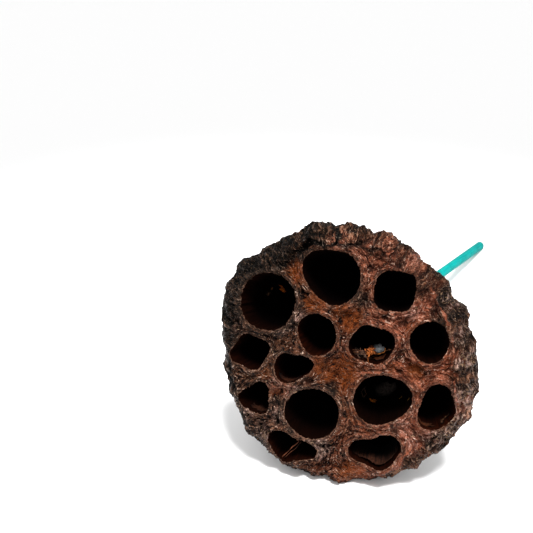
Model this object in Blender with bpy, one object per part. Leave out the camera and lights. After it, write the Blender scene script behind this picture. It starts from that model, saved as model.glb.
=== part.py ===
# Dried lotus pod on a teal painted florist's stick.
#
# The pod is one grown piece: a round face with a thimble-shaped seed pocket under each
# hole, a crusty rim, and a ribbed back that tapers to a neck. The stick is pushed into
# the neck. The part lies as it rests: on the low edge of its rim and on the stick's end.
#
# Lengths are in millimetres and angles in degrees, and MM turns them into metres at the
# end. The pod is laid out on its face, with x to the right, y up the face and w out of
# it, from the middle of the rim.

import math

import bmesh
import bpy
from mathutils import Vector, noise
from mathutils.geometry import delaunay_2d_cdt

MM = 0.001
TINY = 0.000001

# Pod as it rests
FACE_TILT = 14.0
RIM_CENTRE_HEIGHT = 40.2

# Rim outline, in rows of waves round the rim, size and phase
RIM_RADIUS = 41.0
RIM_REACH = 46.0
RIM_LOBES = (
    (2, 1.1, -100.0),
    (3, 0.7, 15.0),
    (4, 0.6, -90.0),
    (5, 0.4, 55.0),
)
RIM_RUFFLES = (
    (22, 0.25, 250.0),
    (31, 0.25, 130.0),
)

# Bulges and notches of the rim, in rows of angle, half width and height
RIM_BULGES = (
    (0.0, 10.0, -1.0),
    (44.0, 10.0, 1.4),
    (61.0, 10.0, -0.8),
    (75.0, 8.0, 0.8),
    (107.0, 10.0, 1.4),
    (128.0, 11.0, -1.5),
    (147.0, 12.0, 1.0),
    (178.0, 14.0, -0.8),
    (203.0, 10.0, 0.8),
    (272.0, 10.0, 0.8),
    (316.0, 12.0, -0.4),
    (341.0, 9.0, 1.0),
)
RIM_POINTS = 144

# Face: a low dome whose edge rolls over into a folded crust behind a shallow groove
DOME_HEIGHT = 2.6
SHOULDER_WIDTH = 6.0
SHOULDER_DROP = 4.6
ROLL_HEIGHT = 0.8
ROLL_INWARDS = 3.4
ROLL_WIDTH = 3.0
GROOVE_DEPTH = 0.7
GROOVE_INWARDS = 7.4
GROOVE_WIDTH = 2.6
LEATHER_WAVE = 7.0
LEATHER_RELIEF = 0.6
FOLD_WAVE = 4.6
FOLD_LENGTH = 16.0
FOLD_RELIEF = 2.8
FOLD_REACH = 9.0
FACE_POINT_SPACING = 1.9
FACE_POINT_CLEARANCE = 1.2
ROW_SPACING = math.sqrt(0.75)

# Seed holes, in rows of x, y, half length, half width, turn, corners, sharpness and
# the first corner's angle
HOLES = (
    (-24.3, 16.6, 9.3, 8.7, 57.0, 4, 0.01, 31.0),
    (-4.7, 27.0, 9.4, 8.0, -28.0, 3, 0.06, 38.0),
    (14.8, 24.5, 6.8, 6.4, 41.0, 4, 0.06, 43.0),
    (-7.9, 8.4, 6.6, 6.0, -68.0, 3, 0.02, 28.0),
    (9.2, 7.3, 7.0, 6.0, 6.0, 4, 0.05, 24.0),
    (26.6, 9.9, 6.5, 5.9, 83.0, 3, 0.03, 45.0),
    (-28.9, -0.3, 6.3, 5.4, 29.0, 4, 0.09, 23.0),
    (-15.2, -3.3, 6.5, 4.5, 24.0, 3, 0.12, 18.0),
    (-26.2, -15.1, 5.3, 4.7, 55.0, 3, 0.16, 65.0),
    (-7.8, -17.5, 8.8, 8.3, 24.0, 3, 0.02, 50.0),
    (13.6, -9.9, 9.3, 7.8, 25.0, 3, 0.04, 9.0),
    (30.5, -10.7, 7.7, 5.4, 76.0, 3, 0.07, 106.0),
    (-14.6, -30.2, 8.0, 4.5, -11.0, 3, 0.17, 6.0),
    (13.1, -27.5, 8.2, 5.4, 13.0, 3, 0.12, 52.0),
)
HOLE_POINT_SPACING = 2.0
LIP_HEIGHT = 1.1
LIP_EDGE_HEIGHT = 0.5
LIP_CREST = 0.7
LIP_WIDTH = 3.2
LIP_POINT_CLEARANCE = 0.7

# Sunken patches between the holes, in rows of x, y, radius and depth
HOLLOWS = (
    (-17.5, 27.5, 5.5, 1.3),
    (2.5, 14.0, 5.5, 1.1),
    (1.0, -4.0, 6.5, 1.4),
    (22.5, 0.5, 4.5, 1.4),
    (-1.5, -28.0, 4.5, 0.8),
)

# Ridges of the face, and creases where the height is below zero, in rows of both ends'
# x and y, half width and height
RIDGES = (
    (26.5, 24.5, 33.5, 14.0, 1.8, 1.0),
    (33.5, 14.0, 35.5, 0.0, 1.8, 0.8),
    (35.5, 0.0, 36.5, -6.0, 1.8, 0.6),
    (24.0, -23.5, 20.0, -32.0, 1.8, 1.0),
    (16.5, 3.0, 25.0, -4.5, 1.8, 0.8),
    (26.0, 28.0, 29.5, 24.0, 2.4, -1.6),
    (-7.0, -1.5, 2.0, -7.0, 1.8, -0.8),
    (-18.0, 31.5, -13.0, 35.5, 2.4, -1.4),
)

# Pockets
POCKET_DEPTH = 15.0
POCKET_DEPTH_PER_WIDTH = 0.35
POCKET_NARROWEST = 10.0
POCKET_ROUNDNESS = 2.6
POCKET_LEAN = 0.0085
POCKET_STEPS = (0.22, 0.46, 0.68, 0.85, 0.96)

# Back, in rows of depth behind the rim plane, share of the rim radius and points round
BACK_RINGS = (
    (7.0, 1.005, 144),
    (11.0, 0.965, 144),
    (16.0, 0.895, 144),
    (22.0, 0.790, 144),
    (28.5, 0.650, 144),
    (35.0, 0.490, 72),
    (41.0, 0.340, 72),
    (46.0, 0.225, 36),
    (51.0, 0.150, 36),
    (56.0, 0.127, 36),
)
BELLY_DEPTH = 12.0
RIB_COUNT = 11
RIB_RELIEF = 0.9
RIB_PHASE = 0.6
WRINKLE_COUNT = 28
WRINKLE_RELIEF = 0.45
WRINKLE_TWIST = 0.06
ROUND_FROM_DEPTH = 20.0
ROUND_BY_DEPTH = 40.0

# Neck and the socket in it
BEND_START = 18.0
BEND_END = 54.0
SOCKET_RADIUS = 2.2
SOCKET_DEPTH = 21.0
SOCKET_POINTS = 18

# Stick
STICK_RADIUS = 1.8
STICK_YAW = 11.5
STICK_PITCH = 12.15
STICK_INSERTED = 20.5
STICK_END_ROUNDING = 0.7
STICK_FLAT = 0.3
STICK_FLAT_LENGTH = 1.4
STICK_POINTS = 12

POD_COLOUR = (0.104, 0.042, 0.020, 1.0)
POD_ROUGHNESS = 0.75
STICK_COLOUR = (0.010, 0.420, 0.390, 1.0)
STICK_ROUGHNESS = 0.5
SHARP_ANGLE = 50.0

# Directions of the face and of the stick in the world
TILT = math.radians(FACE_TILT)
RIGHT = Vector((1.0, 0.0, 0.0))
UP_FACE = Vector((0.0, math.sin(TILT), math.cos(TILT)))
OUT_OF_FACE = Vector((0.0, -math.cos(TILT), math.sin(TILT)))
RIM_CENTRE = Vector((0.0, 0.0, RIM_CENTRE_HEIGHT))


def stick_direction():
    yaw = math.radians(STICK_YAW)
    pitch = math.radians(STICK_PITCH)
    level = math.cos(pitch)
    return Vector((level * math.sin(yaw), level * math.cos(yaw), -math.sin(pitch)))


def clear_scene():
    for item in list(bpy.data.objects):
        bpy.data.objects.remove(item, do_unlink=True)


def make_material(name, colour, roughness):
    material = bpy.data.materials.new(name)
    material.use_nodes = True
    shader = material.node_tree.nodes["Principled BSDF"]
    shader.inputs["Base Color"].default_value = colour
    shader.inputs["Roughness"].default_value = roughness
    shader.inputs["Metallic"].default_value = 0.0
    return material


def ease(value):
    value = min(max(value, 0.0), 1.0)
    return value * value * (3.0 - 2.0 * value)


# Rim and holes as outlines on the face

def rim_radius(angle):
    radius = RIM_RADIUS
    for waves, size, phase in RIM_LOBES + RIM_RUFFLES:
        radius += size * math.cos(waves * angle - math.radians(phase))
    for middle, half_width, height in RIM_BULGES:
        turn = (math.degrees(angle) - middle + 180.0) % 360.0 - 180.0
        radius += height * ease(1.0 - abs(turn) / half_width)
    return radius


def hole_radius(hole, angle):
    half_length, half_width, turn, corners, sharpness, first_corner = hole[2:]
    turned = angle - math.radians(turn)
    across = math.hypot(half_width * math.cos(turned), half_length * math.sin(turned))
    corner = math.cos(corners * (angle - math.radians(first_corner)))
    return half_length * half_width / across * (1.0 + sharpness * corner)


def hole_outline(hole, grow=0.0):
    count = round(math.pi * (hole[2] + hole[3]) / HOLE_POINT_SPACING)
    outline = []
    for step in range(count):
        angle = math.tau * step / count
        radius = hole_radius(hole, angle) + grow
        outline.append((hole[0] + radius * math.cos(angle), hole[1] + radius * math.sin(angle)))
    return outline


def distance_to_hole(hole, x, y):
    angle = math.atan2(y - hole[1], x - hole[0])
    return math.hypot(x - hole[0], y - hole[1]) - hole_radius(hole, angle)


def distance_to_rim(x, y):
    return rim_radius(math.atan2(y, x)) - math.hypot(x, y)


# Height of the face above the rim plane

def fold_height(angle, inwards):
    # The crust's folds run outwards over the rim, so they are long that way and short round it.
    place = Vector((RIM_RADIUS * math.cos(angle), RIM_RADIUS * math.sin(angle), 0.0)) / FOLD_WAVE
    place.z = inwards / FOLD_LENGTH
    return FOLD_RELIEF * noise.noise(place) * ease(1.0 - inwards / FOLD_REACH)


def lip_height(x, y):
    highest = 0.0
    for hole in HOLES:
        distance = distance_to_hole(hole, x, y)
        if distance < LIP_CREST:
            height = LIP_EDGE_HEIGHT + (LIP_HEIGHT - LIP_EDGE_HEIGHT) * ease(distance / LIP_CREST)
        else:
            height = LIP_HEIGHT * ease(1.0 - (distance - LIP_CREST) / (LIP_WIDTH - LIP_CREST))
        highest = max(highest, height)
    return highest


def hollow_depth(x, y):
    depth = 0.0
    for centre_x, centre_y, radius, deepest in HOLLOWS:
        reach = math.hypot(x - centre_x, y - centre_y) / radius
        depth += deepest * ease(1.0 - reach)
    return depth


def ridge_height(x, y):
    height = 0.0
    for x1, y1, x2, y2, half_width, ridge in RIDGES:
        run_x, run_y = x2 - x1, y2 - y1
        along = ((x - x1) * run_x + (y - y1) * run_y) / (run_x * run_x + run_y * run_y)
        along = min(max(along, 0.0), 1.0)
        away = math.hypot(x - x1 - along * run_x, y - y1 - along * run_y)
        height += ridge * ease(1.0 - away / half_width)
    return height


def edge_height(inwards):
    shoulder = max(0.0, 1.0 - inwards / SHOULDER_WIDTH)
    roll = ease(1.0 - abs(inwards - ROLL_INWARDS) / ROLL_WIDTH)
    groove = ease(1.0 - abs(inwards - GROOVE_INWARDS) / GROOVE_WIDTH)
    return ROLL_HEIGHT * roll - GROOVE_DEPTH * groove - SHOULDER_DROP * shoulder * shoulder


def face_height(x, y):
    inwards = distance_to_rim(x, y)
    height = DOME_HEIGHT * (1.0 - (math.hypot(x, y) / RIM_RADIUS) ** 2)
    height += edge_height(inwards) + fold_height(math.atan2(y, x), inwards)
    height += LEATHER_RELIEF * noise.noise(Vector((x, y, 0.0)) / LEATHER_WAVE)
    return height + lip_height(x, y) + ridge_height(x, y) - hollow_depth(x, y)


def on_face(x, y, height):
    return RIM_CENTRE + RIGHT * x + UP_FACE * y + OUT_OF_FACE * height


# Mesh helpers

def add_ring(mesh, points):
    return [mesh.verts.new(point) for point in points]


def join_rings(mesh, ring, next_ring):
    # The next ring has as many points, or half as many.
    count = len(ring)
    half = len(next_ring) * 2 == count
    for step in range(count):
        after = (step + 1) % count
        if not half:
            mesh.faces.new((ring[step], ring[after], next_ring[after], next_ring[step]))
        elif step % 2 == 0:
            near = next_ring[step // 2]
            far = next_ring[(step // 2 + 1) % len(next_ring)]
            mesh.faces.new((ring[step], ring[after], near))
            mesh.faces.new((ring[after], far, near))
            mesh.faces.new((ring[after], ring[(step + 2) % count], far))


def close_ring(mesh, ring, point):
    centre = mesh.verts.new(point)
    for step in range(len(ring)):
        mesh.faces.new((ring[step], ring[(step + 1) % len(ring)], centre))


def set_on_floor(mesh):
    for vert in mesh.verts:
        vert.co.z = max(vert.co.z, 0.0)


# Pod

def inside(outline, x, y):
    crossings = 0
    for step in range(len(outline)):
        x1, y1 = outline[step - 1]
        x2, y2 = outline[step]
        if (y1 > y) != (y2 > y) and x < x1 + (y - y1) / (y2 - y1) * (x2 - x1):
            crossings += 1
    return crossings % 2 == 1


def own_ring(hole, grow):
    # The points of a lip's ring that are nearer to this hole than to any other.
    kept = []
    for x, y in hole_outline(hole, grow):
        others = [distance_to_hole(other, x, y) for other in HOLES if other is not hole]
        clear = min(others) > grow + LIP_POINT_CLEARANCE
        if clear and distance_to_rim(x, y) > FACE_POINT_CLEARANCE:
            kept.append((x, y))
    return kept


def grid_points():
    # Rows of points, each row half a step aside from the last, in the webs and on the rim.
    points = []
    rows = math.ceil(RIM_REACH / (FACE_POINT_SPACING * ROW_SPACING))
    for row in range(-rows, rows + 1):
        for column in range(-rows, rows + 1):
            x = (column + 0.5 * (row % 2)) * FACE_POINT_SPACING
            y = row * FACE_POINT_SPACING * ROW_SPACING
            nearest = min(distance_to_hole(hole, x, y) for hole in HOLES)
            in_webs = nearest > LIP_CREST + FACE_POINT_CLEARANCE
            if in_webs and distance_to_rim(x, y) > FACE_POINT_CLEARANCE:
                points.append((x, y))
    return points


def add_face(mesh):
    # The rim and the holes are kept as edges, and the space between is filled with triangles.
    rim = []
    for step in range(RIM_POINTS):
        angle = math.tau * step / RIM_POINTS
        rim.append((rim_radius(angle) * math.cos(angle), rim_radius(angle) * math.sin(angle)))
    outlines = [rim] + [hole_outline(hole) for hole in HOLES]
    points = []
    edges = []
    for outline in outlines:
        first = len(points)
        points += outline
        edges += [(first + step, first + (step + 1) % len(outline)) for step in range(len(outline))]
    for hole in HOLES:
        points += own_ring(hole, LIP_CREST)
    points += grid_points()

    laid = delaunay_2d_cdt([Vector(point) for point in points], edges, [], 0, TINY)
    verts = [mesh.verts.new(on_face(x, y, face_height(x, y))) for x, y in laid[0]]
    for triangle in laid[2]:
        x = sum(laid[0][corner].x for corner in triangle) / 3.0
        y = sum(laid[0][corner].y for corner in triangle) / 3.0
        if inside(rim, x, y) and not any(inside(outline, x, y) for outline in outlines[1:]):
            mesh.faces.new([verts[corner] for corner in triangle])

    rings = []
    first = 0
    for outline in outlines:
        rings.append(verts[first:first + len(outline)])
        first += len(outline)
    return rings[0], rings[1:]


def add_pocket(mesh, hole, mouth):
    # A rounded thimble whose axis leans towards the neck as it goes in.
    x, y = hole[0], hole[1]
    depth = POCKET_DEPTH + POCKET_DEPTH_PER_WIDTH * (hole[3] * 2.0 - POCKET_NARROWEST)
    middle = face_height(x, y)
    outline = hole_outline(hole)
    heights = [face_height(*point) for point in outline]
    ring = mouth
    for step in POCKET_STEPS:
        lean = 1.0 - POCKET_LEAN * depth * step
        size = lean * math.sqrt(1.0 - step ** POCKET_ROUNDNESS)
        level = ease(step / POCKET_STEPS[1])
        points = []
        for (edge_x, edge_y), height in zip(outline, heights):
            wall_x = x * lean + (edge_x - x) * size
            wall_y = y * lean + (edge_y - y) * size
            start = height + (middle - height) * level
            points.append(on_face(wall_x, wall_y, start - depth * step))
        next_ring = add_ring(mesh, points)
        join_rings(mesh, ring, next_ring)
        ring = next_ring
    lean = 1.0 - POCKET_LEAN * depth
    close_ring(mesh, ring, on_face(x * lean, y * lean, middle - depth))


def axis_slope(depth):
    # How far the neck has turned sideways to meet the stick, as a slope.
    turn = stick_side()[1]
    return math.tan(turn) * min(max((depth - BEND_START) / (BEND_END - BEND_START), 0.0), 1.0)


def stick_side():
    into_pod = -OUT_OF_FACE
    along = stick_direction()
    side = (along - into_pod * along.dot(into_pod)).normalized()
    return side, math.acos(along.dot(into_pod))


def axis_point(depth):
    side, turn = stick_side()
    run = BEND_END - BEND_START
    bent = min(max(depth - BEND_START, 0.0), run)
    shift = math.tan(turn) * (bent * bent / (2.0 * run) + max(depth - BEND_END, 0.0))
    return RIM_CENTRE - OUT_OF_FACE * depth + side * shift


def axis_frame(depth):
    side = stick_side()[0]
    along = (-OUT_OF_FACE + side * axis_slope(depth)).normalized()
    right = (RIGHT - along * RIGHT.dot(along)).normalized()
    return right, right.cross(along)


def back_radius(angle, depth, share):
    ragged = ease((ROUND_BY_DEPTH - depth) / (ROUND_BY_DEPTH - ROUND_FROM_DEPTH))
    radius = share * (RIM_RADIUS + (rim_radius(angle) - RIM_RADIUS) * ragged)
    belly = ease(depth / BELLY_DEPTH) * share
    radius += RIB_RELIEF * belly * math.cos(RIB_COUNT * angle + RIB_PHASE)
    radius += WRINKLE_RELIEF * belly * math.cos(WRINKLE_COUNT * angle - WRINKLE_TWIST * depth)
    return radius


def add_back(mesh, rim):
    ring = rim
    for depth, share, count in BACK_RINGS:
        centre = axis_point(depth)
        right, up = axis_frame(depth)
        points = []
        for step in range(count):
            angle = math.tau * step / count
            radius = back_radius(angle, depth, share)
            points.append(centre + right * radius * math.cos(angle) + up * radius * math.sin(angle))
        next_ring = add_ring(mesh, points)
        join_rings(mesh, ring, next_ring)
        ring = next_ring
    return ring


def add_socket(mesh, neck_end):
    depth = BACK_RINGS[-1][0]
    centre = axis_point(depth)
    right, up = axis_frame(depth)
    along = stick_direction()
    ring = neck_end
    for inwards in (0.0, SOCKET_DEPTH):
        points = []
        for step in range(SOCKET_POINTS):
            angle = math.tau * step / SOCKET_POINTS
            out = right * math.cos(angle) + up * math.sin(angle)
            points.append(centre - along * inwards + out * SOCKET_RADIUS)
        next_ring = add_ring(mesh, points)
        join_rings(mesh, ring, next_ring)
        ring = next_ring
    close_ring(mesh, ring, centre - along * SOCKET_DEPTH)


def build_pod():
    mesh = bmesh.new()
    rim, mouths = add_face(mesh)
    for hole, mouth in zip(HOLES, mouths):
        add_pocket(mesh, hole, mouth)
    neck_end = add_back(mesh, rim)
    add_socket(mesh, neck_end)
    set_on_floor(mesh)
    return mesh


# Stick

def build_stick():
    # It runs from inside the socket down to the floor, where its end is worn flat.
    mesh = bmesh.new()
    neck_end = axis_point(BACK_RINGS[-1][0])
    along = stick_direction()
    right = along.cross(Vector((0.0, 0.0, 1.0))).normalized()
    up = right.cross(along)
    underside = STICK_RADIUS * math.cos(math.pi / STICK_POINTS)
    drop = neck_end.z - underside * math.cos(math.radians(STICK_PITCH)) + STICK_FLAT
    reach = drop / math.sin(math.radians(STICK_PITCH)) + STICK_END_ROUNDING
    stations = (
        (-STICK_INSERTED, STICK_RADIUS - STICK_END_ROUNDING),
        (STICK_END_ROUNDING - STICK_INSERTED, STICK_RADIUS),
        (reach - STICK_END_ROUNDING - STICK_FLAT_LENGTH, STICK_RADIUS),
        (reach - STICK_END_ROUNDING, STICK_RADIUS),
        (reach, STICK_RADIUS - STICK_END_ROUNDING),
    )
    ring = None
    for run, radius in stations:
        points = []
        for step in range(STICK_POINTS):
            angle = math.tau * (step + 0.5) / STICK_POINTS
            out = right * math.cos(angle) + up * math.sin(angle)
            points.append(neck_end + along * run + out * radius)
        next_ring = add_ring(mesh, points)
        if ring is None:
            close_ring(mesh, next_ring, neck_end + along * run)
        else:
            join_rings(mesh, ring, next_ring)
        ring = next_ring
    close_ring(mesh, ring, neck_end + along * reach)
    set_on_floor(mesh)
    return mesh


def add_node(name, mesh, material, shift):
    for vert in mesh.verts:
        vert.co = (vert.co + shift) * MM
    bmesh.ops.recalc_face_normals(mesh, faces=mesh.faces)
    data = bpy.data.meshes.new(name)
    mesh.to_mesh(data)
    mesh.free()
    data.materials.append(material)
    data.shade_smooth()
    data.set_sharp_from_angle(angle=math.radians(SHARP_ANGLE))
    bpy.context.scene.collection.objects.link(bpy.data.objects.new(name, data))


def main():
    clear_scene()
    pod = build_pod()
    stick = build_stick()
    corners = [vert.co for mesh in (pod, stick) for vert in mesh.verts]
    middle_x = (min(co.x for co in corners) + max(co.x for co in corners)) / 2.0
    middle_y = (min(co.y for co in corners) + max(co.y for co in corners)) / 2.0
    shift = Vector((-middle_x, -middle_y, 0.0))
    add_node("pod", pod, make_material("dried pod husk", POD_COLOUR, POD_ROUGHNESS), shift)
    add_node("stick", stick, make_material("teal paint on wood", STICK_COLOUR, STICK_ROUGHNESS), shift)


main()
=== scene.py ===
import math
import bmesh
import bpy
import numpy as np
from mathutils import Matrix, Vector, noise
from mathutils.geometry import delaunay_2d_cdt


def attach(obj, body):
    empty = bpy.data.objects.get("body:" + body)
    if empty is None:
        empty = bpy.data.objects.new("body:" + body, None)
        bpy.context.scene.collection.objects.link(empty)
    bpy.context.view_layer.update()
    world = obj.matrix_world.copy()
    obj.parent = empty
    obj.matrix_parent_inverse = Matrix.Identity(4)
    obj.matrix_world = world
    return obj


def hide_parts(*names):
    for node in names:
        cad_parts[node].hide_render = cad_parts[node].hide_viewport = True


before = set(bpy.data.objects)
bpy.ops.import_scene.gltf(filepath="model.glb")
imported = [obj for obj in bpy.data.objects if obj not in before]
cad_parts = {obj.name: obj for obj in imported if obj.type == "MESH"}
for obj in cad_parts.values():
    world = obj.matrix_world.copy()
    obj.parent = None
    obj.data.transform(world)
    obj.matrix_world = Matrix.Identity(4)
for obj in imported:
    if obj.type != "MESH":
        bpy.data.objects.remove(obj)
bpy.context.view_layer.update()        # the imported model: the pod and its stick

mm = 0.001               # lengths below are millimetres unless they say otherwise


# Small tools

def ease(value):
    value = np.clip(value, 0.0, 1.0)
    return value * value * (3.0 - 2.0 * value)


def linear(hexColour):
    # sRGB hex to the linear colour that the shaders take
    parts = [int(hexColour[step:step + 2], 16) / 255.0 for step in (1, 3, 5)]
    return tuple(c / 12.92 if c <= 0.04045 else ((c + 0.055) / 1.055) ** 2.4 for c in parts) + (1.0,)


def evenTurns(count):
    return np.arange(count) * math.tau / count


def roundAxis(angle, reach, along):
    # Places at these angles round an axis, so far out from it and so far along it
    parts = np.broadcast_arrays(reach * np.cos(angle), reach * np.sin(angle), along)
    return np.stack(parts, axis=1)


def newObject(name, data):
    thing = bpy.data.objects.new(name, data)
    bpy.context.scene.collection.objects.link(thing)
    return thing


def keepAttribute(mesh, name, values):
    # Numbers or vectors, one for each point
    kind, part = ("FLOAT_VECTOR", "vector") if np.ndim(values) == 2 else ("FLOAT", "value")
    data = mesh.attributes.new(name, kind, "POINT").data
    data.foreach_set(part, np.asarray(values, dtype=np.float32).ravel())


def plug(tree, socket, value):
    # Gives a socket a value, an output, or a node, which stands for its first live output
    if isinstance(value, bpy.types.Node):
        value = next(output for output in value.outputs if output.enabled)
    if isinstance(value, bpy.types.NodeSocket):
        tree.links.new(value, socket)
    else:
        socket.default_value = value


def addNode(tree, kind, inputs=None, **settings):
    # Adds a node with its settings and links
    node = tree.nodes.new(kind)
    for name, value in settings.items():
        setattr(node, name, value)
    for socket, value in (inputs or {}).items():
        plug(tree, node.inputs[socket], value)
    return node


# What a step of a pattern can be: Blender's node, its settings, and its sockets in the step's order
nodeKinds = {
    "noise": ("ShaderNodeTexNoise", {}, ("Vector", "Scale", "Detail", "Roughness")),
    "ridges": ("ShaderNodeTexNoise", {"noise_type": "RIDGED_MULTIFRACTAL"},
               ("Vector", "Scale", "Detail", "Roughness", "Offset", "Gain", "Distortion")),
    "range": ("ShaderNodeMapRange", {}, (0, 1, 2, 3, 4)),
    "softRange": ("ShaderNodeMapRange", {"interpolation_type": "SMOOTHSTEP"}, (0, 1, 2, 3, 4)),
    "mix": ("ShaderNodeMix", {}, (0, 2, 3)),
    "mixVectors": ("ShaderNodeMix", {"data_type": "VECTOR"}, (0, 4, 5)),
    "mixColours": ("ShaderNodeMix", {"data_type": "RGBA"}, (0, 6, 7)),
    "addVectors": ("ShaderNodeVectorMath", {"operation": "ADD"}, (0, 1)),
    "subtractVectors": ("ShaderNodeVectorMath", {"operation": "SUBTRACT"}, (0, 1)),
    "scaleVector": ("ShaderNodeVectorMath", {"operation": "SCALE"}, (0, "Scale")),
    "split": ("ShaderNodeSeparateXYZ", {}, (0,)),
    "join": ("ShaderNodeCombineXYZ", {}, (0, 1, 2)),
    "coordinates": ("ShaderNodeTexCoord", {}, ()),
    "stretch": ("ShaderNodeMapping", {}, ("Vector", "Scale")),
    "bump": ("ShaderNodeBump", {}, ("Height", "Strength", "Distance")),
    "add": ("ShaderNodeMath", {"operation": "ADD"}, (0, 1)),
    "addUpToOne": ("ShaderNodeMath", {"operation": "ADD", "use_clamp": True}, (0, 1)),
    "subtract": ("ShaderNodeMath", {"operation": "SUBTRACT"}, (0, 1)),
    "multiply": ("ShaderNodeMath", {"operation": "MULTIPLY"}, (0, 1)),
    "divide": ("ShaderNodeMath", {"operation": "DIVIDE"}, (0, 1)),
    "larger": ("ShaderNodeMath", {"operation": "MAXIMUM"}, (0, 1)),
    "above": ("ShaderNodeMath", {"operation": "GREATER_THAN"}, (0, 1)),
    "below": ("ShaderNodeMath", {"operation": "LESS_THAN"}, (0, 1)),
}


def addNodes(tree, known, steps):
    # Adds a node for each step. Its inputs are values, or names of what is known by then, where
    # a dot leads to one of a node's outputs
    for name, (kind, *inputs) in steps.items():
        blenderKind, settings, sockets = nodeKinds[kind]
        values = []
        for value in inputs:
            if isinstance(value, str):
                source, dot, output = value.partition(".")
                value = known[source].outputs[output] if dot else known[source]
            values.append(value)
        known[name] = addNode(tree, blenderKind, dict(zip(sockets, values)), **settings)


def makeMaterial(name, vectors, shares, colours, steps, sockets):
    # Vectors and shares are attributes of the mesh. The shader's sockets take values or names
    material = bpy.data.materials.new(name)
    material.use_nodes = True
    tree = material.node_tree
    known = {label + "Colour": linear(value) for label, value in colours.items()}
    for attribute in vectors + shares:
        output = "Vector" if attribute in vectors else "Fac"
        known[attribute] = addNode(tree, "ShaderNodeAttribute", attribute_name=attribute).outputs[output]
    addNodes(tree, known, steps)
    shader = tree.nodes["Principled BSDF"]
    for label, value in sockets.items():
        plug(tree, shader.inputs[label], known[value] if isinstance(value, str) else value)
    return material


def newGeometryTree(name, inputs):
    # A Geometry Nodes tree with named inputs, each given as its socket type and default
    tree = bpy.data.node_groups.new(name, "GeometryNodeTree")
    tree.interface.new_socket(name="Geometry", in_out="INPUT", socket_type="NodeSocketGeometry")
    tree.interface.new_socket(name="Geometry", in_out="OUTPUT", socket_type="NodeSocketGeometry")
    for label, (kind, value) in inputs.items():
        socket = tree.interface.new_socket(name=label, in_out="INPUT", socket_type=kind)
        if value is not None:
            socket.default_value = value
    return tree, tree.nodes.new("NodeGroupInput"), tree.nodes.new("NodeGroupOutput")


def runGeometryTree(source, tree, values, name):
    # Runs the tree on the object and keeps the result as a plain mesh object of its own
    modifier = source.modifiers.new(tree.name, "NODES")
    modifier.node_group = tree
    for item in tree.interface.items_tree:
        if item.item_type == "SOCKET" and item.in_out == "INPUT" and item.name in values:
            modifier[item.identifier] = values[item.name]
    bpy.context.view_layer.update()
    graph = bpy.context.evaluated_depsgraph_get()
    mesh = bpy.data.meshes.new_from_object(source.evaluated_get(graph), depsgraph=graph)
    data = source.data
    bpy.data.objects.remove(source, do_unlink=True)
    bpy.data.meshes.remove(data)
    mesh.name = name
    return newObject(name, mesh)


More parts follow.
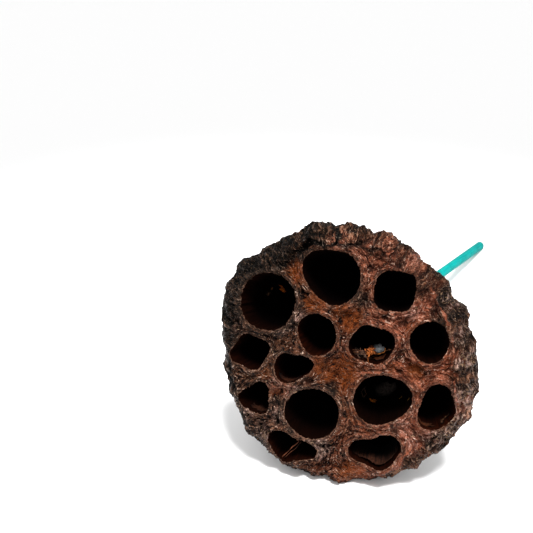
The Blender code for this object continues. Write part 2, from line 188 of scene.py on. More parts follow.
# Pod form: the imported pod's own sizes, from the middle of the rim, with x to the right, y up
# the face and w out of it. Only the wear is the scene's: it makes each hole and its pocket a
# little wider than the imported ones

podForm = {
    "wear": 0.22,
    "wearDown": 0.16,              # more at the bottom, less at the top
    "wearRight": 0.08,             # more at the right, less at the left
    "faceTilt": 14.0,
    "rimCentreHeight": 40.2,
    "rimRadius": 41.0,
    "rimWaves": ((2, 1.1, -100.0), (3, 0.7, 15.0), (4, 0.6, -90.0), (5, 0.4, 55.0),
                 (22, 0.25, 250.0), (31, 0.25, 130.0)),
    # angle, half width, height
    "rimBulges": ((0.0, 10.0, -1.0), (44.0, 10.0, 1.4), (61.0, 10.0, -0.8), (75.0, 8.0, 0.8),
                  (107.0, 10.0, 1.4), (128.0, 11.0, -1.5), (147.0, 12.0, 1.0), (178.0, 14.0, -0.8),
                  (203.0, 10.0, 0.8), (272.0, 10.0, 0.8), (316.0, 12.0, -0.4), (341.0, 9.0, 1.0)),
    "domeHeight": 2.6,
    "shoulderWidth": 6.0,
    "shoulderDrop": 4.6,
    "roll": (3.4, 3.0, 0.8),       # distance from the rim, half width, height
    "groove": (7.4, 2.6, -0.7),
    "leatherWave": 7.0,
    "leatherRelief": 0.6,
    "foldWave": 4.6,
    "foldLength": 16.0,
    "foldRelief": 2.8,
    "foldReach": 9.0,
    # x, y, half length, half width, turn, corners, sharpness, first corner's angle
    "holes": (
        (-24.3, 16.6, 9.3, 8.7, 57.0, 4, 0.01, 31.0),
        (-4.7, 27.0, 9.4, 8.0, -28.0, 3, 0.06, 38.0),
        (14.8, 24.5, 6.8, 6.4, 41.0, 4, 0.06, 43.0),
        (-7.9, 8.4, 6.6, 6.0, -68.0, 3, 0.02, 28.0),
        (9.2, 7.3, 7.0, 6.0, 6.0, 4, 0.05, 24.0),
        (26.6, 9.9, 6.5, 5.9, 83.0, 3, 0.03, 45.0),
        (-28.9, -0.3, 6.3, 5.4, 29.0, 4, 0.09, 23.0),
        (-15.2, -3.3, 6.5, 4.5, 24.0, 3, 0.12, 18.0),
        (-26.2, -15.1, 5.3, 4.7, 55.0, 3, 0.16, 65.0),
        (-7.8, -17.5, 8.8, 8.3, 24.0, 3, 0.02, 50.0),
        (13.6, -9.9, 9.3, 7.8, 25.0, 3, 0.04, 9.0),
        (30.5, -10.7, 7.7, 5.4, 76.0, 3, 0.07, 106.0),
        (-14.6, -30.2, 8.0, 4.5, -11.0, 3, 0.17, 6.0),
        (13.1, -27.5, 8.2, 5.4, 13.0, 3, 0.12, 52.0),
    ),
    "lipHeight": 1.1,
    "lipEdgeHeight": 0.5,
    "lipCrest": 0.7,
    "lipWidth": 3.2,
    # x, y, radius, depth
    "hollows": ((-17.5, 27.5, 5.5, 1.3), (2.5, 14.0, 5.5, 1.1), (1.0, -4.0, 6.5, 1.4),
                (22.5, 0.5, 4.5, 1.4), (-1.5, -28.0, 4.5, 0.8)),
    # both ends' x and y, half width, height
    "ridges": ((26.5, 24.5, 33.5, 14.0, 1.8, 1.0), (33.5, 14.0, 35.5, 0.0, 1.8, 0.8),
               (35.5, 0.0, 36.5, -6.0, 1.8, 0.6), (24.0, -23.5, 20.0, -32.0, 1.8, 1.0),
               (16.5, 3.0, 25.0, -4.5, 1.8, 0.8), (26.0, 28.0, 29.5, 24.0, 2.4, -1.6),
               (-7.0, -1.5, 2.0, -7.0, 1.8, -0.8), (-18.0, 31.5, -13.0, 35.5, 2.4, -1.4)),
    "pocketDepth": 15.0,
    "pocketDepthPerWidth": 0.35,
    "pocketNarrowest": 10.0,
    "pocketRoundness": 2.6,
    "pocketLean": 0.0085,
    "pocketLevelled": 0.46,
    # depth behind the rim plane, share of the rim radius
    "backProfile": ((7.0, 1.005), (11.0, 0.965), (16.0, 0.895), (22.0, 0.790), (28.5, 0.650),
                    (35.0, 0.490), (41.0, 0.340), (46.0, 0.225), (51.0, 0.150), (56.0, 0.127)),
    "bellyDepth": 12.0,
    "ribs": (11, 0.9, 0.6),        # count, relief, phase
    "wrinkles": (28, 0.45, 0.06),  # count, relief, twist
    "raggedDepths": (20.0, 40.0),
    "bendStart": 18.0,
    "bendEnd": 54.0,
    "socketRadius": 2.2,
    "socketDepth": 21.0,
}

stickForm = {
    "radius": 1.8,
    "yaw": 11.5,
    "pitch": 12.15,
    "inserted": 20.5,
    "endRounding": 0.7,
    "floorFlat": 0.3,
    "cadSides": 12,
    "endSlice": 0.2,               # what counts as its inner end
}

edgeWear = {
    "waves": (13, 19, 29, 41),     # rows of nicks round a hole's edge
    "nicks": 0.035,
    "tornNicks": 0.08,
    "tornHoles": (0, 8, 12),
}

podMesh = {
    "faceSpacing": 0.30,       # triangles on the face, fine enough for wrinkles a millimetre wide
    "lipRings": (0.22, 0.45, 0.7, 1.0, 1.3),
    "ringGap": 0.15,           # from one hole's rings to the next hole
    "rimGap": 0.25,
    "gridGap": 0.2,            # from the last ring to the even triangles
    "gridReach": 1.1,          # of the rim radius
    "rowHeight": 0.866,        # of the spacing, for even triangles
    "rimPoints": 768,
    "pocketStep": 1.5,
    "pocketEven": 0.8,         # of the pocket's depth
    "pocketBottomRows": 9,
    "pocketFineRows": 3,       # with as many points as the hole's edge
    "shoulderRows": 13,
    "backStep": 0.75,
    "halvedRows": (6, 40, 55), # of the back, which goes on with half as many points there
    # the neck's end: how far inside its edge it is rounded, and how far it stands out there and
    # halfway to the socket
    "neckRounding": (0.5, 0.35, 0.15),
    "socketRows": (0.3, 3.0, 10.0),
    "farFromRim": 20.0,        # what the pockets' walls have as their distance from it
    # how fast the grain runs inwards on the face, down the pockets and down the back
    "grainInwards": 0.4,
    "grainDown": 0.12,
    "grainBack": 0.25,
}

tilt = math.radians(podForm["faceTilt"])
right = np.array((1.0, 0.0, 0.0))
upFace = np.array((0.0, math.sin(tilt), math.cos(tilt)))
outOfFace = np.array((0.0, -math.cos(tilt), math.sin(tilt)))
stickYaw = math.radians(stickForm["yaw"])
stickPitch = math.radians(stickForm["pitch"])
stickAlong = np.array((math.cos(stickPitch) * math.sin(stickYaw),
                       math.cos(stickPitch) * math.cos(stickYaw), -math.sin(stickPitch)))
stickTurn = math.acos(float(stickAlong @ -outOfFace))
stickSide = stickAlong + outOfFace * math.cos(stickTurn)
stickSide = stickSide / np.linalg.norm(stickSide)


def axisPoint(depth):
    # The middle of the pod's back, which bends sideways near the neck to meet the stick
    run = podForm["bendEnd"] - podForm["bendStart"]
    bent = min(max(depth - podForm["bendStart"], 0.0), run)
    shift = math.tan(stickTurn) * (bent * bent / (2.0 * run) + max(depth - podForm["bendEnd"], 0.0))
    return rimCentre - outOfFace * depth + stickSide * shift


def axisFrame(depth):
    run = podForm["bendEnd"] - podForm["bendStart"]
    slope = math.tan(stickTurn) * min(max((depth - podForm["bendStart"]) / run, 0.0), 1.0)
    along = stickSide * slope - outOfFace
    along = along / np.linalg.norm(along)
    across = right - along * (right @ along)
    across = across / np.linalg.norm(across)
    return across, np.cross(across, along)


def findRimCentre():
    # The stick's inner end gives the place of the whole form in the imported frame
    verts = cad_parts["stick"].data.vertices
    places = np.array([vert.co for vert in verts]) / mm
    along = places @ stickAlong
    inner = places[along < along.min() + stickForm["endSlice"]].mean(axis=0)
    neckEnd = axisPoint(podForm["backProfile"][-1][0])
    return inner - (neckEnd - stickAlong * stickForm["inserted"])


rimCentre = np.array((0.0, 0.0, podForm["rimCentreHeight"]))
rimCentre = rimCentre + findRimCentre()
neckEnd = axisPoint(podForm["backProfile"][-1][0])


def rimRadius(angle):
    radius = np.full_like(angle, podForm["rimRadius"])
    for waves, size, phase in podForm["rimWaves"]:
        radius = radius + size * np.cos(waves * angle - math.radians(phase))
    for middle, halfWidth, height in podForm["rimBulges"]:
        turn = (np.degrees(angle) - middle + 180.0) % 360.0 - 180.0
        radius = radius + height * ease(1.0 - np.abs(turn) / halfWidth)
    return radius


def holeRadius(hole, angle):
    halfLength, halfWidth, turn, corners, sharpness, firstCorner = hole[2:]
    turned = angle - math.radians(turn)
    across = np.hypot(halfWidth * np.cos(turned), halfLength * np.sin(turned))
    corner = np.cos(corners * (angle - math.radians(firstCorner)))
    torn = podForm["holes"].index(hole) in edgeWear["tornHoles"]
    nicks = sum(np.cos(waves * angle + hole[0] * waves) for waves in edgeWear["waves"])
    even = halfLength * halfWidth / across * (1.0 + sharpness * corner)
    even = even + edgeWear["tornNicks" if torn else "nicks"] * nicks
    return even + podForm["wear"] - podForm["wearDown"] * np.sin(angle) + podForm["wearRight"] * np.cos(angle)


def holeOutline(hole, spacing, grow=0.0):
    angle = evenTurns(2 * round(math.pi * (hole[2] + hole[3]) / spacing / 2.0))
    radius = holeRadius(hole, angle) + grow
    return hole[0] + radius * np.cos(angle), hole[1] + radius * np.sin(angle)


def holeDistances(x, y):
    rows = []
    for hole in podForm["holes"]:
        angle = np.arctan2(y - hole[1], x - hole[0])
        rows.append(np.hypot(x - hole[0], y - hole[1]) - holeRadius(hole, angle))
    return np.array(rows)


def rimDistance(x, y):
    return rimRadius(np.arctan2(y, x)) - np.hypot(x, y)


def lipRise(distance):
    height, edge = podForm["lipHeight"], podForm["lipEdgeHeight"]
    crest, width = podForm["lipCrest"], podForm["lipWidth"]
    rise = edge + (height - edge) * ease(distance / crest)
    fall = height * ease((width - distance) / (width - crest))
    return np.where(distance < crest, rise, fall)


def hollowDepth(x, y):
    depth = np.zeros_like(x)
    for centreX, centreY, radius, deepest in podForm["hollows"]:
        depth = depth + deepest * ease(1.0 - np.hypot(x - centreX, y - centreY) / radius)
    return depth


def alongRun(x, y, x1, y1, x2, y2):
    # How far along a straight run each place lies, from 0 to 1, and how far from it in x and y
    runX, runY = x2 - x1, y2 - y1
    along = np.clip(((x - x1) * runX + (y - y1) * runY) / (runX * runX + runY * runY), 0.0, 1.0)
    return along, x - x1 - along * runX, y - y1 - along * runY


def ridgeHeight(x, y):
    height = np.zeros_like(x)
    for x1, y1, x2, y2, halfWidth, ridge in podForm["ridges"]:
        along, awayX, awayY = alongRun(x, y, x1, y1, x2, y2)
        height = height + ridge * ease(1.0 - np.hypot(awayX, awayY) / halfWidth)
    return height


def noiseAt(x, y, z):
    # Blender's own noise at places given as arrays or numbers
    places = np.broadcast(x, y, z)
    return np.array([noise.noise(Vector(place)) for place in places]).reshape(places.shape)


def foldHeight(angle, inwards):
    reach = podForm["rimRadius"] / podForm["foldWave"]
    folds = noiseAt(reach * np.cos(angle), reach * np.sin(angle), inwards / podForm["foldLength"])
    return podForm["foldRelief"] * folds * ease(1.0 - inwards / podForm["foldReach"])


def edgeHeight(inwards):
    height = -podForm["shoulderDrop"] * np.maximum(0.0, 1.0 - inwards / podForm["shoulderWidth"]) ** 2
    for middle, halfWidth, size in (podForm["roll"], podForm["groove"]):
        height = height + size * ease(1.0 - np.abs(inwards - middle) / halfWidth)
    return height


def faceHeight(x, y):
    inwards = rimDistance(x, y)
    wave = podForm["leatherWave"]
    height = podForm["domeHeight"] * (1.0 - (np.hypot(x, y) / podForm["rimRadius"]) ** 2)
    height = height + edgeHeight(inwards) + foldHeight(np.arctan2(y, x), inwards)
    height = height + podForm["leatherRelief"] * noiseAt(x / wave, y / wave, 0.0)
    return height + lipRise(holeDistances(x, y)).max(axis=0) + ridgeHeight(x, y) - hollowDepth(x, y)


def pocketDepth(hole):
    wider = hole[3] * 2.0 - podForm["pocketNarrowest"]
    return podForm["pocketDepth"] + podForm["pocketDepthPerWidth"] * wider


def onFace(x, y, w):
    x, y, w = (np.asarray(part)[..., None] for part in (x, y, w))
    return rimCentre + x * right + y * upFace + w * outOfFace


# Where the husk is charred, rusty, dusty or pale, by places on the face

huskMarks = {
    # how far the edges of the marks stray: wave, reach, place in the noise
    "wander": ((5.0, 3.2, 3.0), (1.8, 1.6, 7.0)),
    # round the rim: angle, width of the crusty band, share of charcoal in it, height of its folds
    "crustBand": ((0, 7.0, 0.2, 0.6), (30, 8.0, 0.65, 0.9), (50, 5.0, 0.3, 1.0), (75, 4.0, 0.1, 1.2),
                  (90, 4.5, 0.15, 1.3), (107, 6.0, 0.7, 1.3), (122, 8.0, 0.95, 1.1), (135, 8.5, 1.0, 0.8),
                  (150, 9.0, 1.0, 0.45), (180, 7.0, 0.8, 0.5), (205, 5.0, 0.75, 0.8), (235, 4.5, 0.7, 0.8),
                  (255, 3.0, 0.5, 0.8), (270, 2.0, 0.3, 0.6), (290, 2.0, 0.2, 0.6), (305, 5.0, 0.35, 1.1),
                  (330, 7.0, 0.12, 0.7), (345, 7.0, 0.1, 0.6), (360, 7.0, 0.2, 0.6)),
    "crustFade": 2.4,
    # where the crust lies in layers: between two angles, and up to so far from the right
    "layeredAngles": (175.0, 262.0),
    "layeredRight": 48.0,
    "layeredRightShare": 0.8,
    "layeredFade": 12.0,
    # sharp creases: both ends' x and y, half width
    "creases": ((25.8, 25.8, 33.2, 14.0, 0.42), (33.2, 14.0, 34.8, 0.0, 0.36), (34.8, 0.0, 36.5, -8.0, 0.36),
                (24.0, -23.5, 20.0, -32.0, 0.4), (14.5, 4.0, 25.0, -4.5, 0.42),
                (16.5, 3.6, 26.5, -5.5, 0.36), (9.0, 17.0, 19.0, 10.5, 0.42),
                (-17.0, 22.5, -13.5, 31.0, 0.36), (4.5, -2.5, 14.0, -1.0, 0.36),
                (12.5, -1.5, 20.0, -10.5, 0.36), (24.5, 27.0, 29.0, 22.0, 0.36),
                (0.5, 30.0, 9.0, 27.0, 0.3)),
    "creaseWander": (0.15, -0.12),
    "creaseTaper": 8.0,            # the more, the nearer to its ends a crease has its whole width
    # the crevice under the rolled edge, painted dark as its shadow: angles it runs between, distance from the
    # rim, half width
    "crevice": (62.0, 122.0, 4.8, 0.85),
    "creviceFade": 8.0,
    "creviceSharpness": 1.3,
    "creviceWander": 0.45,
    # how much of the wander each kind of spot takes, in x and in y, and how sharp a spot is
    "spotWander": {"charSpots": (0.4, -0.3), "sootSpots": (0.4, -0.3), "warmSpots": (0.3, 0.3),
                   "dustSpots": (0.5, -0.2), "blushSpots": (-0.4, 0.4)},
    "spotSharpness": 1.4,
    "sootReach": 9.0,              # from the rim
    "charcoalInSpots": 0.85,
    "charcoalSpotsFrom": 5.0,
    # x, y, radius, strength
    "charSpots": ((4.7, 20.8, 4.5, 0.9), (-1.7, -8.4, 3.8, 0.9), (22.8, 25.7, 4.5, 0.8),
                  (2.0, -12.0, 3.5, 0.6), (-15.5, 33.0, 5.0, 0.9), (33.5, 22.0, 5.0, 0.9),
                  (8.0, 36.0, 4.0, 0.6), (21.0, 33.0, 3.5, 0.7), (3.5, -21.0, 3.0, 0.5),
                  (38.0, -2.0, 4.0, 0.6), (-36.5, 14.0, 5.0, 0.7), (24.0, 14.5, 2.5, 0.4)),
    # charcoal on the rim, where its brown crust is burnt in places
    "sootSpots": ((-13.0, 39.5, 6.0, 1.0), (-8.5, 41.5, 5.5, 0.9), (3.5, 41.0, 4.0, 0.85),
                  (14.5, 39.0, 3.5, 0.9), (16.5, 36.5, 3.0, 0.6), (26.5, 30.5, 4.5, 0.8),
                  (30.5, 25.5, 5.5, 0.9), (34.0, 19.5, 5.0, 0.7), (-20.5, 36.5, 4.0, 0.8),
                  (38.5, 10.5, 3.5, 0.5), (40.0, -2.0, 3.0, 0.5), (-38.0, -16.5, 5.0, 0.9),
                  (-32.5, -25.5, 5.0, 0.95), (-25.0, -32.5, 4.5, 0.95), (-17.0, -37.5, 4.0, 0.85),
                  (-8.0, -40.0, 3.0, 0.6)),
    "warmSpots": ((-15.5, 27.5, 6.0, 1.0), (-9.0, 18.5, 5.5, 0.9), (2.5, 13.9, 5.5, 1.0),
                  (0.2, -4.0, 8.5, 1.0), (-7.5, -2.0, 4.5, 0.9), (6.0, -16.0, 4.5, 0.4),
                  (23.0, -0.1, 4.2, 0.9), (-20.8, -11.5, 3.5, 0.9), (-7.0, -1.0, 5.0, 0.6),
                  (16.5, 0.5, 3.0, 0.5), (2.0, 0.5, 4.5, 0.9), (-1.5, 16.5, 4.0, 0.7),
                  (21.0, 13.8, 4.0, 0.7), (-24.0, -7.0, 3.0, 0.5), (6.0, -35.5, 6.5, 0.8),
                  (36.0, 30.0, 3.0, 0.3)),
    "dustSpots": ((36.0, -14.0, 5.0, 0.7), (35.0, -20.0, 5.5, 0.8), (32.5, 23.0, 6.0, 0.6),
                  (-20.6, -9.9, 3.6, 0.6), (-18.8, -20.0, 4.0, 0.4), (-5.3, -28.5, 5.0, 0.8),
                  (30.8, -21.5, 5.5, 0.7), (38.1, -7.2, 6.0, 1.0), (-18.7, 7.0, 3.0, 0.25),
                  (-13.7, 13.2, 3.0, 0.4), (-34.6, 7.6, 4.0, 0.2), (-14.0, -11.5, 3.5, 0.8),
                  (-30.0, -20.0, 5.0, 0.6), (24.0, -22.0, 4.5, 0.35), (20.5, 18.5, 4.0, 0.5),
                  (20.0, -18.0, 4.0, 0.3), (20.0, 35.5, 4.5, 0.5), (38.5, 5.0, 5.0, 0.9),
                  (36.0, 13.0, 4.0, 0.6), (-23.0, -29.0, 5.0, 0.6), (-24.0, -25.5, 4.0, 0.5),
                  (33.0, -15.0, 5.0, 0.6), (0.0, 30.0, 3.0, 0.2)),
    "blushSpots": ((20.0, 34.5, 7.0, 1.0), (12.0, 36.5, 6.5, 0.8), (14.0, 33.0, 4.0, 0.6),
                   (27.5, 29.5, 5.5, 0.8), (-4.0, 38.0, 5.0, 0.5), (20.5, 17.5, 5.5, 0.8),
                   (25.5, 21.0, 4.5, 0.9), (6.0, 29.5, 4.0, 0.6), (16.0, 13.0, 5.0, 0.8),
                   (9.5, 15.5, 3.5, 0.5), (33.5, 8.0, 3.5, 0.4), (31.5, -1.0, 3.5, 0.4),
                   (22.0, -20.0, 5.5, 0.7), (24.0, -15.0, 4.0, 0.4), (-15.5, -11.5, 4.0, 0.7),
                   (-19.5, -9.5, 3.5, 0.5), (36.5, -9.0, 4.5, 0.9), (15.0, -20.0, 4.0, 0.5),
                   (17.0, -1.5, 3.5, 0.6), (4.0, 36.5, 6.5, 0.6), (9.0, -34.5, 4.0, 0.3),
                   (24.0, -4.0, 3.5, 0.4), (-6.0, 16.0, 2.5, 0.3)),
    "redFrom": (-26.0, 30.0),      # along x
    "collarWidth": (0.8, 1.5),     # of the weakest, and what the strongest has more
    "collarWander": 0.35,
    "collarFade": 0.7,
    # for each hole: how pale its lip is, how strong the collar round it, and how much painted light its
    # pocket has just inside the lip
    "lipPale": (0.55, 0.6, 0.5, 0.6, 0.5, 0.6, 0.8, 0.9, 0.8, 1.0, 0.6, 0.6, 0.8, 0.9),
    "lipCollar": (0.85, 0.4, 0.25, 0.3, 0.25, 0.4, 0.5, 0.4, 0.45, 0.7, 0.5, 0.4, 0.5, 0.6),
    "pocketGlow": (0.25, 0.1, 0.05, 0.9, 0.5, 0.3, 0.35, 0.7, 0.25, 0.1, 0.1, 0.9, 0.4, 0.5),
}


def spots(kind, x, y, wander):
    shiftX, shiftY = huskMarks["spotWander"][kind]
    x, y = x + wander * shiftX, y + wander * shiftY
    sharpness = huskMarks["spotSharpness"]
    share = np.zeros_like(x)
    for centreX, centreY, radius, strength in huskMarks[kind]:
        away = np.hypot(x - centreX, y - centreY)
        share = np.maximum(share, strength * ease(sharpness - sharpness * away / radius))
    return share


def layeredShare(turn):
    first, last = huskMarks["layeredAngles"]
    fade = huskMarks["layeredFade"]
    layered = ease((turn - first) / fade) * ease((last - turn) / fade)
    fromRight = np.abs((turn + 180.0) % 360.0 - 180.0)
    atRight = huskMarks["layeredRightShare"] * ease((huskMarks["layeredRight"] - fromRight) / fade)
    return np.maximum(layered, atRight)


def creaseShare(x, y, wander):
    shiftX, shiftY = huskMarks["creaseWander"]
    taper = huskMarks["creaseTaper"]
    crease = np.zeros_like(x)
    for x1, y1, x2, y2, halfWidth in huskMarks["creases"]:
        along, awayX, awayY = alongRun(x, y, x1, y1, x2, y2)
        away = np.hypot(awayX + shiftX * wander, awayY + shiftY * wander)
        crease = np.maximum(crease, ease(1.0 - away / halfWidth) * ease(taper * along * (1.0 - along)))
    return crease


def creviceShare(turn, rim, wander):
    first, last, inwards, halfWidth = huskMarks["crevice"]
    fade = huskMarks["creviceFade"]
    away = np.abs(rim + huskMarks["creviceWander"] * wander - inwards)
    crevice = ease(huskMarks["creviceSharpness"] - away / halfWidth)
    return crevice * ease((turn - first) / fade) * ease((last - turn) / fade)


def paintMarks(space, rim, pocket, back, lip, hole=None):
    # Shares from 0 to 1 of each kind of colour, worked out from places in the pod's own space
    x, y = space[:, 0], space[:, 1]
    turn = np.degrees(np.arctan2(y, x)) % 360.0
    angles, widths, chars, folds = np.array(huskMarks["crustBand"], dtype=float).T
    wander = sum(reach * noiseAt(x / wave, y / wave, seed) for wave, reach, seed in huskMarks["wander"])
    spotted = {kind: spots(kind, x, y, wander) for kind in huskMarks["spotWander"]}
    soot = spotted["sootSpots"] * (rim < huskMarks["sootReach"])
    band = ease((np.interp(turn, angles, widths) + wander - rim) / huskMarks["crustFade"])
    charcoal = huskMarks["charcoalInSpots"] * spotted["charSpots"] * (rim > huskMarks["charcoalSpotsFrom"])
    redFrom, redTo = huskMarks["redFrom"]
    nearest = holeDistances(x, y).argmin(axis=0)
    collar = np.array(huskMarks["lipCollar"])[nearest]
    least, more = huskMarks["collarWidth"]
    collarReach = least + more * collar + huskMarks["collarWander"] * wander
    onSkin = (back == 0.0) * (pocket == 0.0)
    return {
        "char": np.maximum(band, np.maximum(spotted["charSpots"], soot)),
        "charcoal": np.maximum(np.maximum(np.interp(turn, angles, chars), charcoal), soot),
        "folded": np.interp(turn, angles, folds),
        "layered": layeredShare(turn),
        "crease": creaseShare(x, y, wander) * onSkin,
        "crevice": creviceShare(turn, rim, wander) * onSkin,
        "warm": spotted["warmSpots"],
        "red": ease((x + wander - redFrom) / (redTo - redFrom)),
        "dust": spotted["dustSpots"],
        "blush": spotted["blushSpots"] * (1.0 - soot),
        "pale": np.array(huskMarks["lipPale"])[nearest],
        "collar": collar * ease((collarReach - lip) / huskMarks["collarFade"]),
        "glow": np.array(huskMarks["pocketGlow"])[nearest if hole is None else hole],
    }


# Pod mesh. A shell gathers points with their marks, and faces, ring by ring

marks = ("lip", "rim", "pocket", "back", "char", "charcoal", "folded", "layered", "crease", "crevice", "warm",
         "red", "dust", "blush", "pale", "collar", "glow")
behindRim = {"lip": 9.0, "rim": 0.0, "pocket": 0.0}


def newShell():
    return {"count": 0, **{name: [] for name in ("places", "faces", "podSpace", "grain") + marks}}


def addPoints(shell, places, podSpace, grain, hole=None, **values):
    count = len(places)
    values.update(paintMarks(podSpace, hole=hole, **values))
    shell["places"].append(places)
    shell["podSpace"].append(podSpace)
    shell["grain"].append(grain)
    for mark in marks:
        shell[mark].append(np.broadcast_to(values[mark], (count,)))
    shell["count"] += count
    return np.arange(shell["count"] - count, shell["count"])


def joinRings(shell, ring, nextRing):
    # The next ring has as many points, or half as many, and is the one to go on from
    after, nextAfter = np.roll(ring, -1), np.roll(nextRing, -1)
    strips = ((ring, after, nextAfter, nextRing),)
    if len(nextRing) < len(ring):
        between = after[::2]
        strips = ((ring[::2], between, nextRing), (between, nextAfter, nextRing),
                  (between, np.roll(ring, -2)[::2], nextAfter))
    for strip in strips:
        shell["faces"] += np.stack(strip, axis=1).tolist()
    return nextRing


def closeRing(shell, ring, point):
    shell["faces"] += np.stack((ring, np.roll(ring, -1), np.full_like(ring, point)), axis=1).tolist()


def addFace(shell):
    # The rim and the holes are kept as edges, and the space between is filled with triangles
    spacing, rimGap = podMesh["faceSpacing"], podMesh["rimGap"]
    angle = evenTurns(podMesh["rimPoints"])
    outlines = [(rimRadius(angle) * np.cos(angle), rimRadius(angle) * np.sin(angle))]
    outlines += [holeOutline(hole, spacing) for hole in podForm["holes"]]
    starts = np.cumsum([0] + [len(outline[0]) for outline in outlines])

    for index, hole in enumerate(podForm["holes"]):
        for grow in podMesh["lipRings"]:
            x, y = holeOutline(hole, spacing, grow)
            others = np.delete(holeDistances(x, y), index, axis=0).min(axis=0)
            kept = (others > grow + podMesh["ringGap"]) & (rimDistance(x, y) > rimGap)
            outlines.append((x[kept], y[kept]))

    rows = math.ceil(podForm["rimRadius"] * podMesh["gridReach"] / (spacing * podMesh["rowHeight"]))
    row, column = np.meshgrid(np.arange(-rows, rows + 1), np.arange(-rows, rows + 1))
    x = ((column + 0.5 * (row % 2)) * spacing).ravel()
    y = (row * spacing * podMesh["rowHeight"]).ravel()
    offHoles = holeDistances(x, y).min(axis=0) > podMesh["lipRings"][-1] + podMesh["gridGap"]
    kept = offHoles & (rimDistance(x, y) > rimGap)
    outlines.append((x[kept], y[kept]))
    x, y = (np.concatenate(parts) for parts in zip(*outlines))

    # A triangle inside the rim alone is husk, and one inside a hole's ring too is open
    rings = [np.arange(first, last).tolist() for first, last in zip(starts[:-1], starts[1:])]
    laid = delaunay_2d_cdt([Vector(pair) for pair in zip(x, y)], [], rings, 0, 1e-6)
    x, y = np.array([(point.x, point.y) for point in laid[0]]).T
    kept = [list(triangle) for triangle, owners in zip(laid[2], laid[5]) if owners == [0]]

    height = faceHeight(x, y)
    inwards = rimDistance(x, y)
    grain = roundAxis(np.arctan2(y, x), podForm["rimRadius"], podMesh["grainInwards"] * inwards)
    points = addPoints(shell, onFace(x, y, height), np.stack((x, y, height), axis=1), grain,
                       lip=holeDistances(x, y).min(axis=0), rim=inwards, pocket=0.0, back=0.0)
    shell["faces"] += kept
    rings = [points[first:last] for first, last in zip(starts[:-1], starts[1:])]
    return rings[0], rings[1:], height


def pocketSteps(depth):
    # Even steps down the wall, then finer ones round the bottom
    step = podMesh["pocketStep"]
    wall = np.arange(1, int(podMesh["pocketEven"] * depth / step) + 1) * step / depth
    last = wall[-1] ** podForm["pocketRoundness"]
    turns = np.linspace(math.asin(math.sqrt(last)), math.pi / 2.0, podMesh["pocketBottomRows"])[1:-1]
    return np.concatenate((wall, np.sin(turns) ** (2.0 / podForm["pocketRoundness"])))


def addPocket(shell, hole, mouth, heights):
    # A rounded thimble whose axis leans towards the neck as it goes in
    x, y = hole[0], hole[1]
    depth = pocketDepth(hole)
    middle = float(faceHeight(np.array([x]), np.array([y]))[0])
    edgeX, edgeY = holeOutline(hole, podMesh["faceSpacing"])
    inside = {"lip": 0.0, "rim": podMesh["farFromRim"], "back": 0.0, "hole": podForm["holes"].index(hole)}
    ring = mouth
    for index, step in enumerate(pocketSteps(depth)):
        if index == podMesh["pocketFineRows"]:
            edgeX, edgeY, heights = edgeX[::2], edgeY[::2], heights[::2]
        lean = 1.0 - podForm["pocketLean"] * depth * step
        size = lean * math.sqrt(max(0.0, 1.0 - step ** podForm["pocketRoundness"]))
        wallX = x * lean + (edgeX - x) * size
        wallY = y * lean + (edgeY - y) * size
        w = heights + (middle - heights) * ease(step / podForm["pocketLevelled"]) - depth * step
        grain = np.stack((edgeX, edgeY, np.full_like(edgeX, podMesh["grainDown"] * depth * step)), axis=1)
        nextRing = addPoints(shell, onFace(wallX, wallY, w), np.stack((wallX, wallY, w), axis=1), grain,
                             pocket=step, **inside)
        ring = joinRings(shell, ring, nextRing)
    lean = 1.0 - podForm["pocketLean"] * depth
    bottom = np.array([[x * lean, y * lean, middle - depth]])
    point = addPoints(shell, onFace(*bottom.T), bottom, np.array([[x, y, podMesh["grainDown"] * depth]]),
                      pocket=1.0, **inside)
    closeRing(shell, ring, point[0])


def backShare(depth):
    # A smooth curve through the profile's rows
    depths, shares = np.array(podForm["backProfile"]).T
    slopes = np.gradient(shares, depths)
    row = int(np.clip(np.searchsorted(depths, depth) - 1, 0, len(depths) - 2))
    run = depths[row + 1] - depths[row]
    t = (depth - depths[row]) / run
    return (shares[row] * (1 + 2 * t) * (1 - t) ** 2 + slopes[row] * run * t * (1 - t) ** 2
            + shares[row + 1] * t * t * (3 - 2 * t) + slopes[row + 1] * run * t * t * (t - 1))


def backRadius(angle, depth, share):
    first, last = podForm["raggedDepths"]
    ragged = ease((last - depth) / (last - first))
    radius = share * (podForm["rimRadius"] + (rimRadius(angle) - podForm["rimRadius"]) * ragged)
    belly = ease(depth / podForm["bellyDepth"]) * share
    count, relief, phase = podForm["ribs"]
    radius = radius + relief * belly * np.cos(count * angle + phase)
    count, relief, twist = podForm["wrinkles"]
    return radius + relief * belly * np.cos(count * angle - twist * depth)


def addBackRing(shell, angle, radius, depth):
    # The depth may differ round the ring, as it does next to the rim
    depth = np.broadcast_to(depth, angle.shape)
    places = []
    for turn, reach, deep in zip(angle, radius, depth):
        across, up = axisFrame(deep)
        places.append(axisPoint(deep) + across * reach * math.cos(turn) + up * reach * math.sin(turn))
    podSpace = roundAxis(angle, radius, -depth)
    grain = roundAxis(angle, podForm["rimRadius"], podMesh["grainBack"] * depth)
    return addPoints(shell, np.array(places), podSpace, grain, back=depth, **behindRim)


